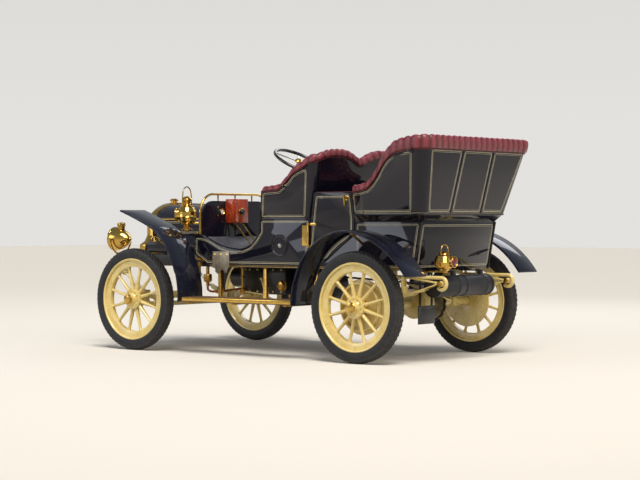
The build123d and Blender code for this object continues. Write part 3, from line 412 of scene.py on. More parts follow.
class Shape:
    """A mesh in the making, in the car's own frame."""

    def __init__(self) -> None:
        """Starts an empty mesh."""
        self.bm = bmesh.new()

    def box(self, low: Point, high: Point, edge: float = 0.0, segments: int = 2) -> list[bmesh.types.BMVert]:
        """Adds a block between two corners.

        Args:
            low: Its lowest corner.
            high: Its highest corner.
            edge: Width of the rounding on its edges.
            segments: Steps in that rounding.

        Returns:
            The block's vertices before rounding.
        """
        middle = (Vector(low) + Vector(high)) / 2
        size = Vector(high) - Vector(low)
        matrix = Matrix.Translation(middle) @ Matrix.Diagonal((*size, 1.0))
        made = bmesh.ops.create_cube(self.bm, size=1.0, matrix=matrix)["verts"]
        self.round_edges(made, edge, segments)
        return made

    def round_edges(self, verts: Iterable[bmesh.types.BMVert], edge: float, segments: int = 2) -> None:
        """Rounds every edge between the given vertices."""
        if edge > 0:
            edges = list({e for v in verts for e in v.link_edges})
            bmesh.ops.bevel(self.bm, geom=edges, offset=edge, offset_type="OFFSET", segments=segments, profile=0.5,
                            affect="EDGES", clamp_overlap=True, material=-1)

    def rod(self, start: Point, end: Point, radius: float, end_radius: float | None = None, sides: int = 24,
            edge: float = 0.0) -> None:
        """Adds a round bar, straight or tapered, between two points.

        Args:
            start: Centre of its first end.
            end: Centre of its second end.
            radius: Radius at the start.
            end_radius: Radius at the end, if it differs.
            sides: Steps round it.
            edge: Width of the rounding at both ends.
        """
        a, b = Vector(start), Vector(end)
        turn = (b - a).to_track_quat("Z", "Y").to_matrix().to_4x4()
        matrix = Matrix.Translation((a + b) / 2) @ turn
        last = radius if end_radius is None else end_radius
        made = bmesh.ops.create_cone(
            self.bm, cap_ends=True, cap_tris=False, segments=sides, radius1=radius, radius2=last,
            depth=(b - a).length, matrix=matrix)["verts"]
        if edge > 0:
            caps = {f for v in made for f in v.link_faces if len(f.verts) == sides and sides > 4}
            rims = list({e for f in caps for e in f.edges})
            bmesh.ops.bevel(self.bm, geom=rims, offset=edge, offset_type="OFFSET", segments=2, profile=0.5,
                            affect="EDGES", clamp_overlap=True, material=-1)

    def turned(self, profile: Sequence[Point], centre: Point, axis: Point, steps: int = 48,
               arc: float = 2 * math.pi) -> None:
        """Spins a profile about an axis.

        Args:
            profile: Pairs of distance along the axis and radius.
            centre: The point where the distance is zero.
            axis: Direction of the axis.
            steps: Steps round it.
            arc: How far it is spun.
        """
        direction = Vector(axis).normalized()
        side = direction.orthogonal().normalized()
        if abs(direction.z) < 0.5:
            side = Vector((0, 0, 1)).cross(direction).normalized().cross(direction).normalized() * -1
        origin = Vector(centre)
        verts = [self.bm.verts.new(origin + direction * along + side * max(radius, 0.0)) for along, radius in profile]
        edges = [self.bm.edges.new(pair) for pair in zip(verts, verts[1:])]
        full = abs(arc - 2 * math.pi) < 1e-6
        made = bmesh.ops.spin(
            self.bm, geom=verts + edges, cent=origin, axis=direction, dvec=(0, 0, 0), angle=arc, steps=steps,
            use_merge=full, use_duplicate=False)
        touched = {v for item in made["geom_last"] for v in (item.verts if hasattr(item, "verts") else [item])}
        poles = [v for v, (_, radius) in zip(verts, profile) if radius <= 0]
        near = [v for v in self.bm.verts if any((v.co - p.co).length < WELD for p in poles)]
        bmesh.ops.remove_doubles(self.bm, verts=list(set(near) | {v for v in touched if v.is_valid}), dist=WELD)

    def plate(self, outline: Sequence[Point], depth: Point, edge: float = 0.0, segments: int = 2) -> None:
        """Adds a flat plate from its outline, pushed out by a vector.

        Args:
            outline: Corner points in order.
            depth: How far and which way it is pushed.
            edge: Width of the rounding on its edges.
            segments: Steps in that rounding.
        """
        verts = [self.bm.verts.new(p) for p in outline]
        face = self.bm.faces.new(verts)
        grown = bmesh.ops.extrude_face_region(self.bm, geom=[face])["geom"]
        top = [item for item in grown if isinstance(item, bmesh.types.BMVert)]
        bmesh.ops.translate(self.bm, verts=top, vec=Vector(depth))
        self.round_edges(verts + top, edge, segments)

    def tube(self, points: Sequence[Point], radius: float, closed: bool = False, sides: int = 8,
             smooth: bool = False, per_span: int = 6) -> None:
        """Adds a round tube along a line of points.

        Args:
            points: The line.
            radius: Radius of the tube.
            closed: Whether the line joins up.
            sides: Steps round it, a multiple of four.
            smooth: Whether the line curves through its points.
            per_span: Steps from one point to the next on a curved line.
        """
        line = bpy.data.curves.new("line", "CURVE")
        line.dimensions = "3D"
        line.bevel_depth = radius
        line.bevel_resolution = max(sides // 4 - 1, 0) if sides > 4 else 0
        line.use_fill_caps = not closed
        line.resolution_u = per_span
        spline = line.splines.new("BEZIER" if smooth else "POLY")
        spots = spline.bezier_points if smooth else spline.points
        spots.add(len(points) - 1)
        for spot, point in zip(spots, points):
            if smooth:
                spot.co = point
                spot.handle_left_type = spot.handle_right_type = "AUTO"
            else:
                spot.co = (*point, 1.0)
        spline.use_cyclic_u = closed
        self.absorb(line)

    def absorb(self, curve: bpy.types.Curve) -> None:
        """Takes in the mesh that a curve makes, and removes the curve."""
        holder = bpy.data.objects.new("line", curve)
        bpy.context.scene.collection.objects.link(holder)
        graph = bpy.context.evaluated_depsgraph_get()
        mesh = bpy.data.meshes.new_from_object(holder.evaluated_get(graph))
        self.bm.from_mesh(mesh)
        bpy.data.objects.remove(holder)
        bpy.data.curves.remove(curve)
        bpy.data.meshes.remove(mesh)

    def skin(self, place: Callable[[float, float], Vector], across: int, along: int, wrap: bool = False,
             wrap_along: bool = False) -> list[bmesh.types.BMVert]:
        """Lays a grid over a curved surface.

        Args:
            place: Gives a point for two shares from 0 to 1, across and along.
            across: Steps across.
            along: Steps along.
            wrap: Whether the grid closes on itself across.
            wrap_along: Whether it closes on itself along.

        Returns:
            The grid's vertices.
        """
        made = bmesh.ops.create_grid(self.bm, x_segments=across, y_segments=along, size=0.5)["verts"]
        for v in made:
            v.co = place(v.co.x + 0.5, v.co.y + 0.5)
        if wrap or wrap_along:
            bmesh.ops.remove_doubles(self.bm, verts=made, dist=WELD)
            made = [v for v in made if v.is_valid]
        return made

    def nut(self, centre: Point, axis: Point, size: float, height: float, stud: float = 0.0) -> None:
        """Adds a hexagon nut, with the end of its bolt if that shows."""
        a, direction = Vector(centre), Vector(axis).normalized()
        self.rod(a, a + direction * height, size / 2, sides=6)
        if stud:
            self.rod(a + direction * height, a + direction * (height + stud), size * 0.27, sides=10)

    def dome(self, centre: Point, axis: Point, radius: float, height: float, sides: int = 12) -> None:
        """Adds a round-headed screw or button."""
        steps = 4
        profile = [(height * math.sin(i / steps * math.pi / 2), radius * math.cos(i / steps * math.pi / 2))
                   for i in range(steps + 1)]
        profile[-1] = (height, 0.0)
        self.turned([(-height * 0.3, 0.0), (-height * 0.3, radius)] + profile, centre, axis, sides)

    def mirror_too(self) -> "Shape":
        """Adds the same on the car's other side."""
        geometry = list(self.bm.verts) + list(self.bm.edges) + list(self.bm.faces)
        copied = bmesh.ops.duplicate(self.bm, geom=geometry)["geom"]
        verts = [item for item in copied if isinstance(item, bmesh.types.BMVert)]
        faces = [item for item in copied if isinstance(item, bmesh.types.BMFace)]
        bmesh.ops.scale(self.bm, vec=(1, -1, 1), verts=verts)
        bmesh.ops.reverse_faces(self.bm, faces=faces)
        return self

    def outward(self) -> "Shape":
        """Turns every face outwards."""
        bmesh.ops.recalc_face_normals(self.bm, faces=list(self.bm.faces))
        return self

    def piece(self, name: str, finish: Finish, body: Body = Body.CHASSIS, slot: Slot | None = None, smooth: bool = True,
              stands_for: Sequence[str] = (), angle: float = SMOOTH_ANGLE, outward: bool = True) -> bpy.types.Object:
        """Ends the work: makes the object, dresses it and hangs it on its body.

        Args:
            name: The piece's name.
            finish: Its surface.
            body: The body it rides on.
            slot: The record's slot that it belongs to.
            smooth: Whether faces under the angle shade as one.
            stands_for: The frame's nodes that it takes the place of.
            angle: The sharpest turn that still shades smoothly.
            outward: Whether the faces are turned outwards first.

        Returns:
            The finished object.
        """
        if outward:
            self.outward()
        mesh = bpy.data.meshes.new(name)
        self.bm.to_mesh(mesh)
        self.bm.free()
        made = bpy.data.objects.new(name, mesh)
        bpy.context.scene.collection.objects.link(made)
        if smooth:
            mesh.shade_smooth()
            mesh.set_sharp_from_angle(angle=angle)
        return dress(made, finish, body, slot, stands_for)


def dress(made: bpy.types.Object, finish: Finish, body: Body, slot: Slot | None = None,
          stands_for: Sequence[str] = ()) -> bpy.types.Object:
    """Paints a piece, hangs it on its body and reports it.

    Args:
        made: The object.
        finish: Its surface.
        body: The body it rides on.
        slot: The record's slot that it belongs to.
        stands_for: The frame's nodes that it takes the place of.

    Returns:
        The same object.
    """
    made.data.materials.clear()
    made.data.materials.append(PaintShop.get(finish))
    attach(made, body.value)
    if stands_for:
        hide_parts(*stands_for)
    log.info("%s: %d faces on %s", made.name, len(made.data.polygons), body.value)
    return made


def arc_line(points: Sequence[Point], steps: int) -> list[Vector]:
    """Joins points by circular arcs, each through three of them in turn.

    Args:
        points: An odd number of points in one plane.
        steps: Samples for each arc.

    Returns:
        The samples, ends included.
    """
    line = []
    for i in range(0, len(points) - 2, 2):
        a, b, c = (Vector(p) for p in points[i:i + 3])
        normal = (b - a).cross(c - a)
        ab, ac = b - a, c - a
        centre = a + (normal.cross(ab) * ac.length_squared + ac.cross(normal) * ab.length_squared) / (
            2 * normal.length_squared)
        spoke = a - centre
        turn = spoke.angle(b - centre) + (b - centre).angle(c - centre)
        line += [centre + Matrix.Rotation(turn * k / steps, 3, normal) @ spoke for k in range(steps)]
    return line + [Vector(points[-1])]


class Frame:
    """The loaded frame: its boxes, its surfaces and copies of its nodes."""

    def __init__(self) -> None:
        """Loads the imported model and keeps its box."""
        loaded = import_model()
        self.nodes: dict[str, bpy.types.Object] = loaded["nodes"]
        self.low, self.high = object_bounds()
        self.trees: dict[str, BVHTree] = {}

    def surface(self, node: str) -> BVHTree:
        """The node's surface, for finding where a line meets it."""
        if node not in self.trees:
            bm = bmesh.new()
            bm.from_mesh(self.nodes[node].data)
            self.trees[node] = BVHTree.FromBMesh(bm)
            bm.free()
        return self.trees[node]

    def meet(self, node: str, start: Point, direction: Point) -> tuple[Vector, Vector] | None:
        """Where a line first meets a node.

        Args:
            node: The node's name.
            start: Where the line starts.
            direction: Which way it goes.

        Returns:
            The point and the surface's outward direction there, or None.
        """
        spot, normal, _, _ = self.surface(node).ray_cast(Vector(start), Vector(direction).normalized())
        if spot is None:
            return None
        if normal.dot(Vector(direction)) > 0:
            normal = -normal
        return spot, normal

    def softened(self, node: str, finish: Finish, body: Body, slot: Slot | None = None, edge: float = 0.002,
                 angle: float = SMOOTH_ANGLE, segments: int = 2, shade: float | None = None) -> bpy.types.Object:
        """Stands in for a node with the same form, its sharp edges eased as a maker would.

        Args:
            node: The node's name.
            finish: The surface.
            body: The body that it rides on.
            slot: The record's slot.
            edge: Width of the easing.
            angle: Edges that turn more than this are eased.
            segments: Steps in the easing.
            shade: The sharpest turn that shades smoothly, if it isn't that angle.

        Returns:
            The new object.
        """
        shape = Shape()
        shape.bm.from_mesh(self.nodes[node].data)
        bmesh.ops.remove_doubles(shape.bm, verts=list(shape.bm.verts), dist=WELD)
        bmesh.ops.dissolve_limit(
            shape.bm, angle_limit=math.radians(0.6), verts=list(shape.bm.verts), edges=list(shape.bm.edges),
            use_dissolve_boundaries=False, delimit={"NORMAL"})
        if edge > 0:
            sharp = [e for e in shape.bm.edges if len(e.link_faces) == 2 and e.calc_face_angle(0.0) > angle]
            bmesh.ops.bevel(shape.bm, geom=sharp, offset=edge, offset_type="OFFSET", segments=segments, profile=0.5,
                            affect="EDGES", clamp_overlap=True, material=-1, harden_normals=False)
        bmesh.ops.remove_doubles(shape.bm, verts=list(shape.bm.verts), dist=WELD / 2)
        return shape.piece(
            f"{node}_dressed", finish, body, slot, stands_for=[node], outward=False, angle=angle if shade is None
            else shade)


@dataclass
class Studio:
    """A pale floor, soft lamps and the camera that took the picture."""

    camera_spot: tuple[float, float, float] = (-8.7196, 10.4145, 1.0051)
    heading: float = -50.66
    tilt: float = -0.635
    roll: float = -0.092
    focal: float = 1761.67
    image_width: float = 640.0
    sensor: float = 36.0
    floor_reach: float = 45.0

    def build(self) -> None:
        """Makes the floor, the lamps, the world and the camera."""
        scene = bpy.context.scene
        scene.view_settings.view_transform = "Standard"
        self.floor()
        self.world(scene)
        self.sun()
        self.lamp("key_softbox", (-5.5, 5.0, 6.5), (5.0, 3.5), 190.0, "#FFF6EA")
        self.lamp("fill_softbox", (4.5, 6.5, 3.2), (4.0, 3.0), 90.0, "#EEF3FF")
        self.lamp("back_softbox", (1.5, -6.5, 5.5), (5.0, 3.0), 120.0, "#F6F8FF")
        self.lamp("tail_softbox", (-7.5, -1.5, 3.4), (3.0, 2.6), 60.0, "#FFF9F0")
        self.camera(scene)

    def floor(self) -> None:
        """A wide pale floor that keeps the car's shadow."""
        shape = Shape()
        bmesh.ops.create_grid(shape.bm, x_segments=1, y_segments=1, size=self.floor_reach)
        mesh = bpy.data.meshes.new("studio_floor")
        shape.bm.to_mesh(mesh)
        shape.bm.free()
        floor = bpy.data.objects.new("studio_floor", mesh)
        bpy.context.scene.collection.objects.link(floor)
        material = bpy.data.materials.new("pale_studio_paper")
        material.use_nodes = True
        tree = material.node_tree
        tree.nodes.clear()
        matt = add_node(tree, "ShaderNodeBsdfDiffuse", {"Color": linear("#D9D5CE"), "Roughness": 0.6})
        add_node(tree, "ShaderNodeOutputMaterial", {"Surface": matt.outputs[0]})
        floor.data.materials.append(material)
        floor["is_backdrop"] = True

    def world(self, scene: bpy.types.Scene) -> None:
        """A pale surround that is dimmer as a light than as a background."""
        world = bpy.data.worlds.new("studio_surround")
        scene.world = world
        world.use_nodes = True
        tree = world.node_tree
        tree.nodes.clear()
        rays = add_node(tree, "ShaderNodeLightPath")
        seen = add_node(
            tree, "ShaderNodeMath", {0: rays.outputs["Is Camera Ray"], 1: rays.outputs["Is Transmission Ray"]},
            operation="MAXIMUM")
        strength = add_node(tree, "ShaderNodeMapRange", {"Value": seen.outputs[0], "To Min": 0.5, "To Max": 0.86})
        way = add_node(tree, "ShaderNodeTexCoord")
        split = add_node(tree, "ShaderNodeSeparateXYZ", {0: way.outputs["Generated"]})
        height = add_node(
            tree, "ShaderNodeMapRange", {"Value": split.outputs["Z"], "From Min": 0.05, "From Max": 0.75})
        sky = add_node(tree, "ShaderNodeMix", {0: height.outputs[0], 6: linear("#F3F1ED"), 7: linear("#A9B4C4")},
                       data_type="RGBA")
        back = add_node(tree, "ShaderNodeBackground", {"Color": sky.outputs[2], "Strength": strength.outputs[0]})
        add_node(tree, "ShaderNodeOutputWorld", {"Surface": back.outputs[0]})

    def sun(self) -> None:
        """A broad high light that reaches the whole floor, out to the horizon."""
        data = bpy.data.lights.new("high_sun", "SUN")
        data.energy = 2.6
        data.angle = math.radians(28)
        data.color = linear("#FFF8EE")[:3]
        sun = bpy.data.objects.new("high_sun", data)
        sun.rotation_mode = "QUATERNION"
        sun.rotation_quaternion = Vector((0.55, -0.5, -1.25)).to_track_quat("-Z", "Y")
        bpy.context.scene.collection.objects.link(sun)

    def lamp(self, name: str, spot: Point, size: tuple[float, float], watts: float, colour: str) -> None:
        """Hangs a soft rectangular lamp that points at the car's middle."""
        data = bpy.data.lights.new(name, "AREA")
        data.shape = "RECTANGLE"
        data.size, data.size_y = size
        data.energy = watts
        data.color = linear(colour)[:3]
        lamp = bpy.data.objects.new(name, data)
        lamp.location = spot
        lamp.rotation_mode = "QUATERNION"
        lamp.rotation_quaternion = (Vector((0, 0, 0.8)) - Vector(spot)).to_track_quat("-Z", "Y")
        bpy.context.scene.collection.objects.link(lamp)

    def camera(self, scene: bpy.types.Scene) -> None:
        """Stands the camera where the photograph was taken."""
        data = bpy.data.cameras.new("camera")
        data.sensor_width = self.sensor
        data.lens = self.focal / self.image_width * self.sensor
        data.clip_end = 200.0
        camera = bpy.data.objects.new("camera", data)
        scene.collection.objects.link(camera)
        camera.location = self.camera_spot
        yaw, pitch, roll = (math.radians(angle) for angle in (self.heading, self.tilt, self.roll))
        forward = Vector((math.cos(yaw) * math.cos(pitch), math.sin(yaw) * math.cos(pitch), math.sin(pitch)))
        camera.rotation_mode = "QUATERNION"
        level = forward.to_track_quat("-Z", "Y")
        camera.rotation_quaternion = Matrix.Rotation(-roll, 3, forward).to_quaternion() @ level
        scene.camera = camera


@dataclass
class CoachPanels:
    """Painted panels and plain metalwork that keep the frame's form, with their edges eased."""

    frame: Frame

    def build(self) -> None:
        """Dresses each node by the table: node, finish, slot, easing in metres, body."""
        chassis = Body.CHASSIS
        table = (
            ("lower_body", COACH_ENAMEL, Slot.BODY, 0.0025, chassis),
            ("tonneau_cove", COACH_ENAMEL, Slot.BODY, 0.0, chassis),
            ("tonneau_shell", COACH_ENAMEL, Slot.BODY, 0.002, chassis),
            ("front_seat_shell", COACH_ENAMEL, Slot.BODY, 0.002, chassis),
            ("seat_boxes", COACH_ENAMEL, Slot.BODY, 0.003, chassis),
            ("door_left", COACH_ENAMEL, Slot.BODY, 0.002, Body.DOOR_LEFT),
            ("door_right", COACH_ENAMEL, Slot.BODY, 0.002, Body.DOOR_RIGHT),
            ("hood", COACH_ENAMEL, Slot.BODY, 0.0015, chassis),
            ("hood_flap_left", COACH_ENAMEL, Slot.BODY, 0.002, Body.FLAP_LEFT),
            ("hood_flap_right", COACH_ENAMEL, Slot.BODY, 0.002, Body.FLAP_RIGHT),
            ("dash", COACH_ENAMEL, Slot.BODY, 0.004, chassis),
            ("front_fenders", FENDER_ENAMEL, Slot.FENDER, 0.0015, chassis),
            ("rear_fenders", FENDER_ENAMEL, Slot.FENDER, 0.0015, chassis),
            ("floor", FLOOR_RUBBER, Slot.BOARD, 0.002, chassis),
            ("frame_rails", CHASSIS_BLACK, Slot.CHASSIS, 0.004, chassis),
            ("frame_cross_members", CHASSIS_BLACK, Slot.CHASSIS, 0.004, chassis),
            ("fender_stays", CAST_BRASS, Slot.BRASS, 0.001, chassis),
            ("fuel_tank", CHASSIS_BLACK, Slot.CHASSIS, 0.006, chassis),
            ("engine", CHASSIS_BLACK, Slot.CHASSIS, 0.008, chassis),
            ("transmission", CHASSIS_BLACK, Slot.CHASSIS, 0.004, chassis),
            ("muffler", STOVE_BLACK, Slot.MUFFLER, 0.006, chassis),
            ("front_axle", CREAM_VARNISH, Slot.CREAM, 0.003, chassis),
            ("rear_axle", CREAM_VARNISH, Slot.CREAM, 0.004, chassis),
            ("knuckle_left", CREAM_VARNISH, Slot.CREAM, 0.002, Body.KNUCKLE_LEFT),
            ("knuckle_right", CREAM_VARNISH, Slot.CREAM, 0.002, Body.KNUCKLE_RIGHT),
            ("tie_rod", CREAM_VARNISH, Slot.CREAM, 0.001, Body.TIE_ROD),
            ("drag_link", CREAM_VARNISH, Slot.CREAM, 0.001, Body.DRAG_LINK),
            ("pitman_arm", CREAM_VARNISH, Slot.CREAM, 0.001, Body.PITMAN_ARM),
            ("steering_column", CHASSIS_BLACK, Slot.CHASSIS, 0.003, chassis),
            ("dash_rail", POLISHED_BRASS, Slot.BRASS, 0.0, chassis),
            ("door_hinges", POLISHED_BRASS, Slot.BRASS, 0.0008, chassis),
            ("radiator_shell", POLISHED_BRASS, Slot.BRASS, 0.003, chassis),
            ("number_plate", CHASSIS_BLACK, Slot.CHASSIS, 0.001, chassis),
        )
        for node, finish, slot, edge, body in table:
            self.frame.softened(node, finish, body, slot, edge)


@dataclass
class Tyre:
    """A pneumatic tyre with staggered blocks on its tread, made about the Y axis."""

    radius: float = 0.396
    half_width: float = 0.046
    bead_radius: float = 0.3065
    bead_half: float = 0.031
    block_height: float = 0.0045
    block_gap: float = 0.0022
    steps: int = 132
    rows: int = 6
    tread_half: float = 0.036

    def section(self) -> list[tuple[float, float]]:
        """The cross-section, from one bead over the tread to the other, as (y, radius)."""
        crown = self.radius - self.block_height
        shoulder = crown - 0.01
        side = [(self.bead_half, self.bead_radius), (self.bead_half + 0.004, self.bead_radius + 0.008),
                (self.half_width - 0.003, self.bead_radius + 0.026), (self.half_width, self.bead_radius + 0.044),
                (self.half_width - 0.002, self.bead_radius + 0.06), (self.tread_half + 0.004, shoulder)]
        tread = []
        for row in range(self.rows + 1):
            y = self.tread_half * (1 - 2 * row / self.rows)
            tread.append((y, crown - 0.009 * (y / self.tread_half) ** 2))
        return side + tread + [(-y, radius) for y, radius in side[::-1]]

    def build(self, place: Matrix) -> Shape:
        """Makes one tyre at its wheel's centre.

        Args:
            place: Takes the tyre from the origin to its place.

        Returns:
            The shape, not yet a piece.
        """
        shape = Shape()
        shape.turned(self.section(), (0, 0, 0), (0, 1, 0), self.steps)
        bmesh.ops.recalc_face_normals(shape.bm, faces=list(shape.bm.faces))
        floor_radius = self.radius - self.block_height - 0.012
        blocks = []
        for face in shape.bm.faces:
            middle = face.calc_center_median()
            if abs(middle.y) >= self.tread_half or math.hypot(middle.x, middle.z) < floor_radius:
                continue
            row = int((middle.y + self.tread_half) / (2 * self.tread_half) * self.rows)
            column = int((math.atan2(middle.z, middle.x) + math.pi) / (2 * math.pi) * self.steps)
            if (row + column) % 2 == 0:
                blocks.append(face)
        bmesh.ops.inset_individual(
            shape.bm, faces=blocks, thickness=self.block_gap, depth=self.block_height, use_even_offset=True)
        inner = [e for e in shape.bm.edges if e.is_boundary]
        bmesh.ops.bridge_loops(shape.bm, edges=inner)
        shape.outward()
        wear = shape.bm.verts.layers.float.new("wear")
        for v in shape.bm.verts:
            reach = math.hypot(v.co.x, v.co.z)
            v[wear] = min(max((reach - self.bead_radius - 0.045) / 0.045, 0.12), 1.0)
        bmesh.ops.transform(shape.bm, matrix=place, verts=list(shape.bm.verts))
        return shape


@dataclass
class Wheel:
    """A twelve-spoke artillery wheel with its hub, and a brake drum if it is a driven one."""

    rim_radius: float = 0.306
    rim_half: float = 0.037
    felloe_outer: float = 0.2995
    felloe_inner: float = 0.25
    felloe_half: float = 0.022
    spokes: int = 12
    root_radius: float = 0.06
    flange_radius: float = 0.079
    flange_face: float = 0.034
    hub_radius: float = 0.046
    nose_radius: float = 0.034
    nose_end: float = 0.094
    inner_face: float = -0.047
    drum_face: float = -0.071
    drum_radius: float = 0.172
    drum_lip: float = 0.198

    def rim(self, shape: Shape) -> None:
        """The rolled steel rim with its two lips, and the wooden felloe inside it."""
        half, outer = self.rim_half, self.rim_radius
        lip = [(-half + 0.004, outer - 0.006), (-half - 0.001, outer - 0.002), (-half - 0.003, outer + 0.005),
               (-half, outer + 0.01), (-half + 0.0035, outer + 0.0065), (-half + 0.004, outer)]
        section = lip + [(-y, radius) for y, radius in lip[::-1]]
        section.append(section[0])
        shape.turned(section, (0, 0, 0), (0, 1, 0), 96)
        wood, inner = self.felloe_half, self.felloe_inner
        section = [(-wood, self.felloe_outer), (-wood, inner + 0.008), (-wood + 0.003, inner + 0.002),
                   (-wood + 0.009, inner), (wood - 0.009, inner), (wood - 0.003, inner + 0.002),
                   (wood, inner + 0.008), (wood, self.felloe_outer), (-wood, self.felloe_outer)]
        shape.turned(section, (0, 0, 0), (0, 1, 0), 96)

    def spoke(self, angle: float) -> Callable[[float, float], Vector]:
        """Gives the surface of one spoke: oval, waisted near the felloe and flared at its foot.

        Args:
            angle: Its direction about the Y axis.

        Returns:
            A function of the shares round and along it.
        """
        # columns: share of the length, half width across, half width along the axle
        stations = ((0.0, 0.0155, 0.019), (0.14, 0.0165, 0.019), (0.24, 0.014, 0.0175), (0.55, 0.0115, 0.0145),
                    (0.85, 0.01, 0.0125), (0.93, 0.0115, 0.014), (1.0, 0.016, 0.0175))
        outward = Vector((math.sin(angle), 0, math.cos(angle)))
        across = Vector((math.cos(angle), 0, -math.sin(angle)))
        start, end = self.root_radius, self.felloe_inner + 0.004

        def place(u: float, v: float) -> Vector:
            """A point on the spoke."""
            for (s0, a0, b0), (s1, a1, b1) in zip(stations, stations[1:]):
                if v <= s1 + 1e-9:
                    t = (v - s0) / (s1 - s0)
                    half, deep = a0 + (a1 - a0) * t, b0 + (b1 - b0) * t
                    break
            turn = 2 * math.pi * u
            return (outward * (start + (end - start) * v) + across * (half * math.cos(turn))
                    + Vector((0, deep * math.sin(turn), 0)))

        return place

    def hub(self, shape: Shape, with_drum: bool) -> None:
        """Flanges and barrel."""
        face, wood = self.flange_face, self.felloe_half
        foot = self.drum_face if with_drum else self.inner_face
        shape.turned(
            [(foot, 0.02), (foot, self.hub_radius), (-wood - 0.01, self.hub_radius), (-wood - 0.008,
                                                                                      self.flange_radius - 0.003),
             (-wood - 0.005, self.flange_radius), (-wood + 0.002, self.flange_radius), (-wood + 0.004,
                                                                                        self.flange_radius - 0.004),
             (wood - 0.004, self.flange_radius - 0.004), (wood - 0.002, self.flange_radius), (face - 0.003,
                                                                                              self.flange_radius),
             (face, self.flange_radius - 0.004), (face + 0.001, self.hub_radius + 0.008), (face + 0.008,
                                                                                           self.hub_radius),
             (self.nose_end - 0.034, self.nose_radius + 0.004), (self.nose_end - 0.028, self.nose_radius + 0.004),
             (self.nose_end - 0.028, 0.02), (foot, 0.02)], (0, 0, 0), (0, 1, 0), 48)

    def bolts(self, shape: Shape) -> None:
        """Twelve flange bolts with their nuts and a bolt in the felloe beside every second spoke."""
        for turn in range(self.spokes):
            angle = 2 * math.pi * turn / self.spokes
            spot = Vector((math.sin(angle), 0, math.cos(angle)))
            shape.nut(spot * 0.064 + Vector((0, self.flange_face, 0)), (0, 1, 0), 0.0135, 0.006, 0.003)
            if turn % 2 == 0:
                shape.dome(spot * 0.275 + Vector((0, self.felloe_half, 0)), (0, 1, 0), 0.006, 0.003, 8)
                shape.dome(spot * 0.275 - Vector((0, self.felloe_half, 0)), (0, -1, 0), 0.006, 0.003, 8)

    def cap(self, shape: Shape) -> None:
        """The brass hub cap, its hexagon and the rim behind it."""
        end = self.nose_end
        shape.turned([(end - 0.03, 0.012), (end - 0.03, self.nose_radius + 0.002),
                      (end - 0.024, self.nose_radius + 0.004), (end - 0.02, self.nose_radius),
                      (end - 0.006, self.nose_radius - 0.003), (end - 0.001, self.nose_radius - 0.009),
                      (end, self.nose_radius - 0.016), (end, 0.0)], (0, 0, 0), (0, 1, 0), 36)
        shape.rod((0, end - 0.02, 0), (0, end - 0.004, 0), self.nose_radius + 0.0025, sides=6, edge=0.0015)

    def drum(self, shape: Shape) -> None:
        """The brake drum with its lip and the studs that hold it to the spokes."""
        face, wood = self.drum_face, self.felloe_half
        shape.turned(
            [(face + 0.006, self.hub_radius - 0.008), (face, self.hub_radius + 0.02), (face - 0.001, self.drum_radius
                                                                                       - 0.03),
             (face, self.drum_lip - 0.003), (face + 0.002, self.drum_lip), (face + 0.008, self.drum_lip),
             (face + 0.01, self.drum_lip - 0.003), (face + 0.011, self.drum_radius + 0.002), (face + 0.014,
                                                                                              self.drum_radius),
             (-wood - 0.002, self.drum_radius), (-wood, self.drum_radius - 0.002), (-wood, self.drum_radius - 0.01),
             (face + 0.016, self.drum_radius - 0.012), (face + 0.018, self.hub_radius - 0.008), (face + 0.006,
                                                                                                 self.hub_radius
                                                                                                 - 0.008)], (0, 0, 0),
            (0, 1, 0), 72)
        for turn in range(self.spokes):
            angle = 2 * math.pi * (turn + 0.5) / self.spokes
            spot = Vector((math.sin(angle), 0, math.cos(angle))) * (self.drum_radius - 0.028)
            shape.dome(spot + Vector((0, face - 0.001, 0)), (0, -1, 0), 0.008, 0.004, 10)

    def build(self, with_drum: bool, place: Matrix) -> tuple[Shape, Shape]:
        """Makes the painted wheel and its brass cap.

        Args:
            with_drum: Whether it carries a brake drum.
            place: Takes it from the origin, outer side towards +Y, to its place.

        Returns:
            The wheel and the cap, not yet pieces.
        """
        wheel, cap = Shape(), Shape()
        self.rim(wheel)
        for turn in range(self.spokes):
            wheel.skin(self.spoke(2 * math.pi * (turn + 0.5) / self.spokes), 12, 12, wrap=True)
        self.hub(wheel, with_drum)
        self.bolts(wheel)
        if with_drum:
            self.drum(wheel)
        self.cap(cap)
        for shape in (wheel, cap):
            shape.outward()
            bmesh.ops.transform(shape.bm, matrix=place, verts=list(shape.bm.verts))
        return wheel, cap


@dataclass
class RollingGear:
    """The four wheels with their tyres."""

    wheelbase: float = 2.2
    track: float = 1.422
    axle_height: float = 0.396

    def build(self) -> None:
        """Makes each corner's wheel, cap and tyre."""
        for end, x in (("front", self.wheelbase / 2), ("rear", -self.wheelbase / 2)):
            for side, sign in (("left", 1), ("right", -1)):
                place = Matrix.Translation((x, sign * self.track / 2, self.axle_height))
                place = place @ Matrix.Diagonal((1, sign, 1, 1))
                body = Body[f"WHEEL_{end.upper()}_{side.upper()}"]
                wheel, cap = Wheel().build(end == "rear", place)
                wheel.piece(
                    f"wooden_wheel_{end}_{side}", CREAM_VARNISH, body, Slot.CREAM, stands_for=[f"wheel_{end}_{side}"])
                cap.piece(f"hub_cap_{end}_{side}", POLISHED_BRASS, body, Slot.BRASS)
                Tyre().build(place).piece(
                    f"block_tyre_{end}_{side}", RUBBER, body, Slot.TYRE, stands_for=[f"tyre_{end}_{side}"],
                    outward=True)


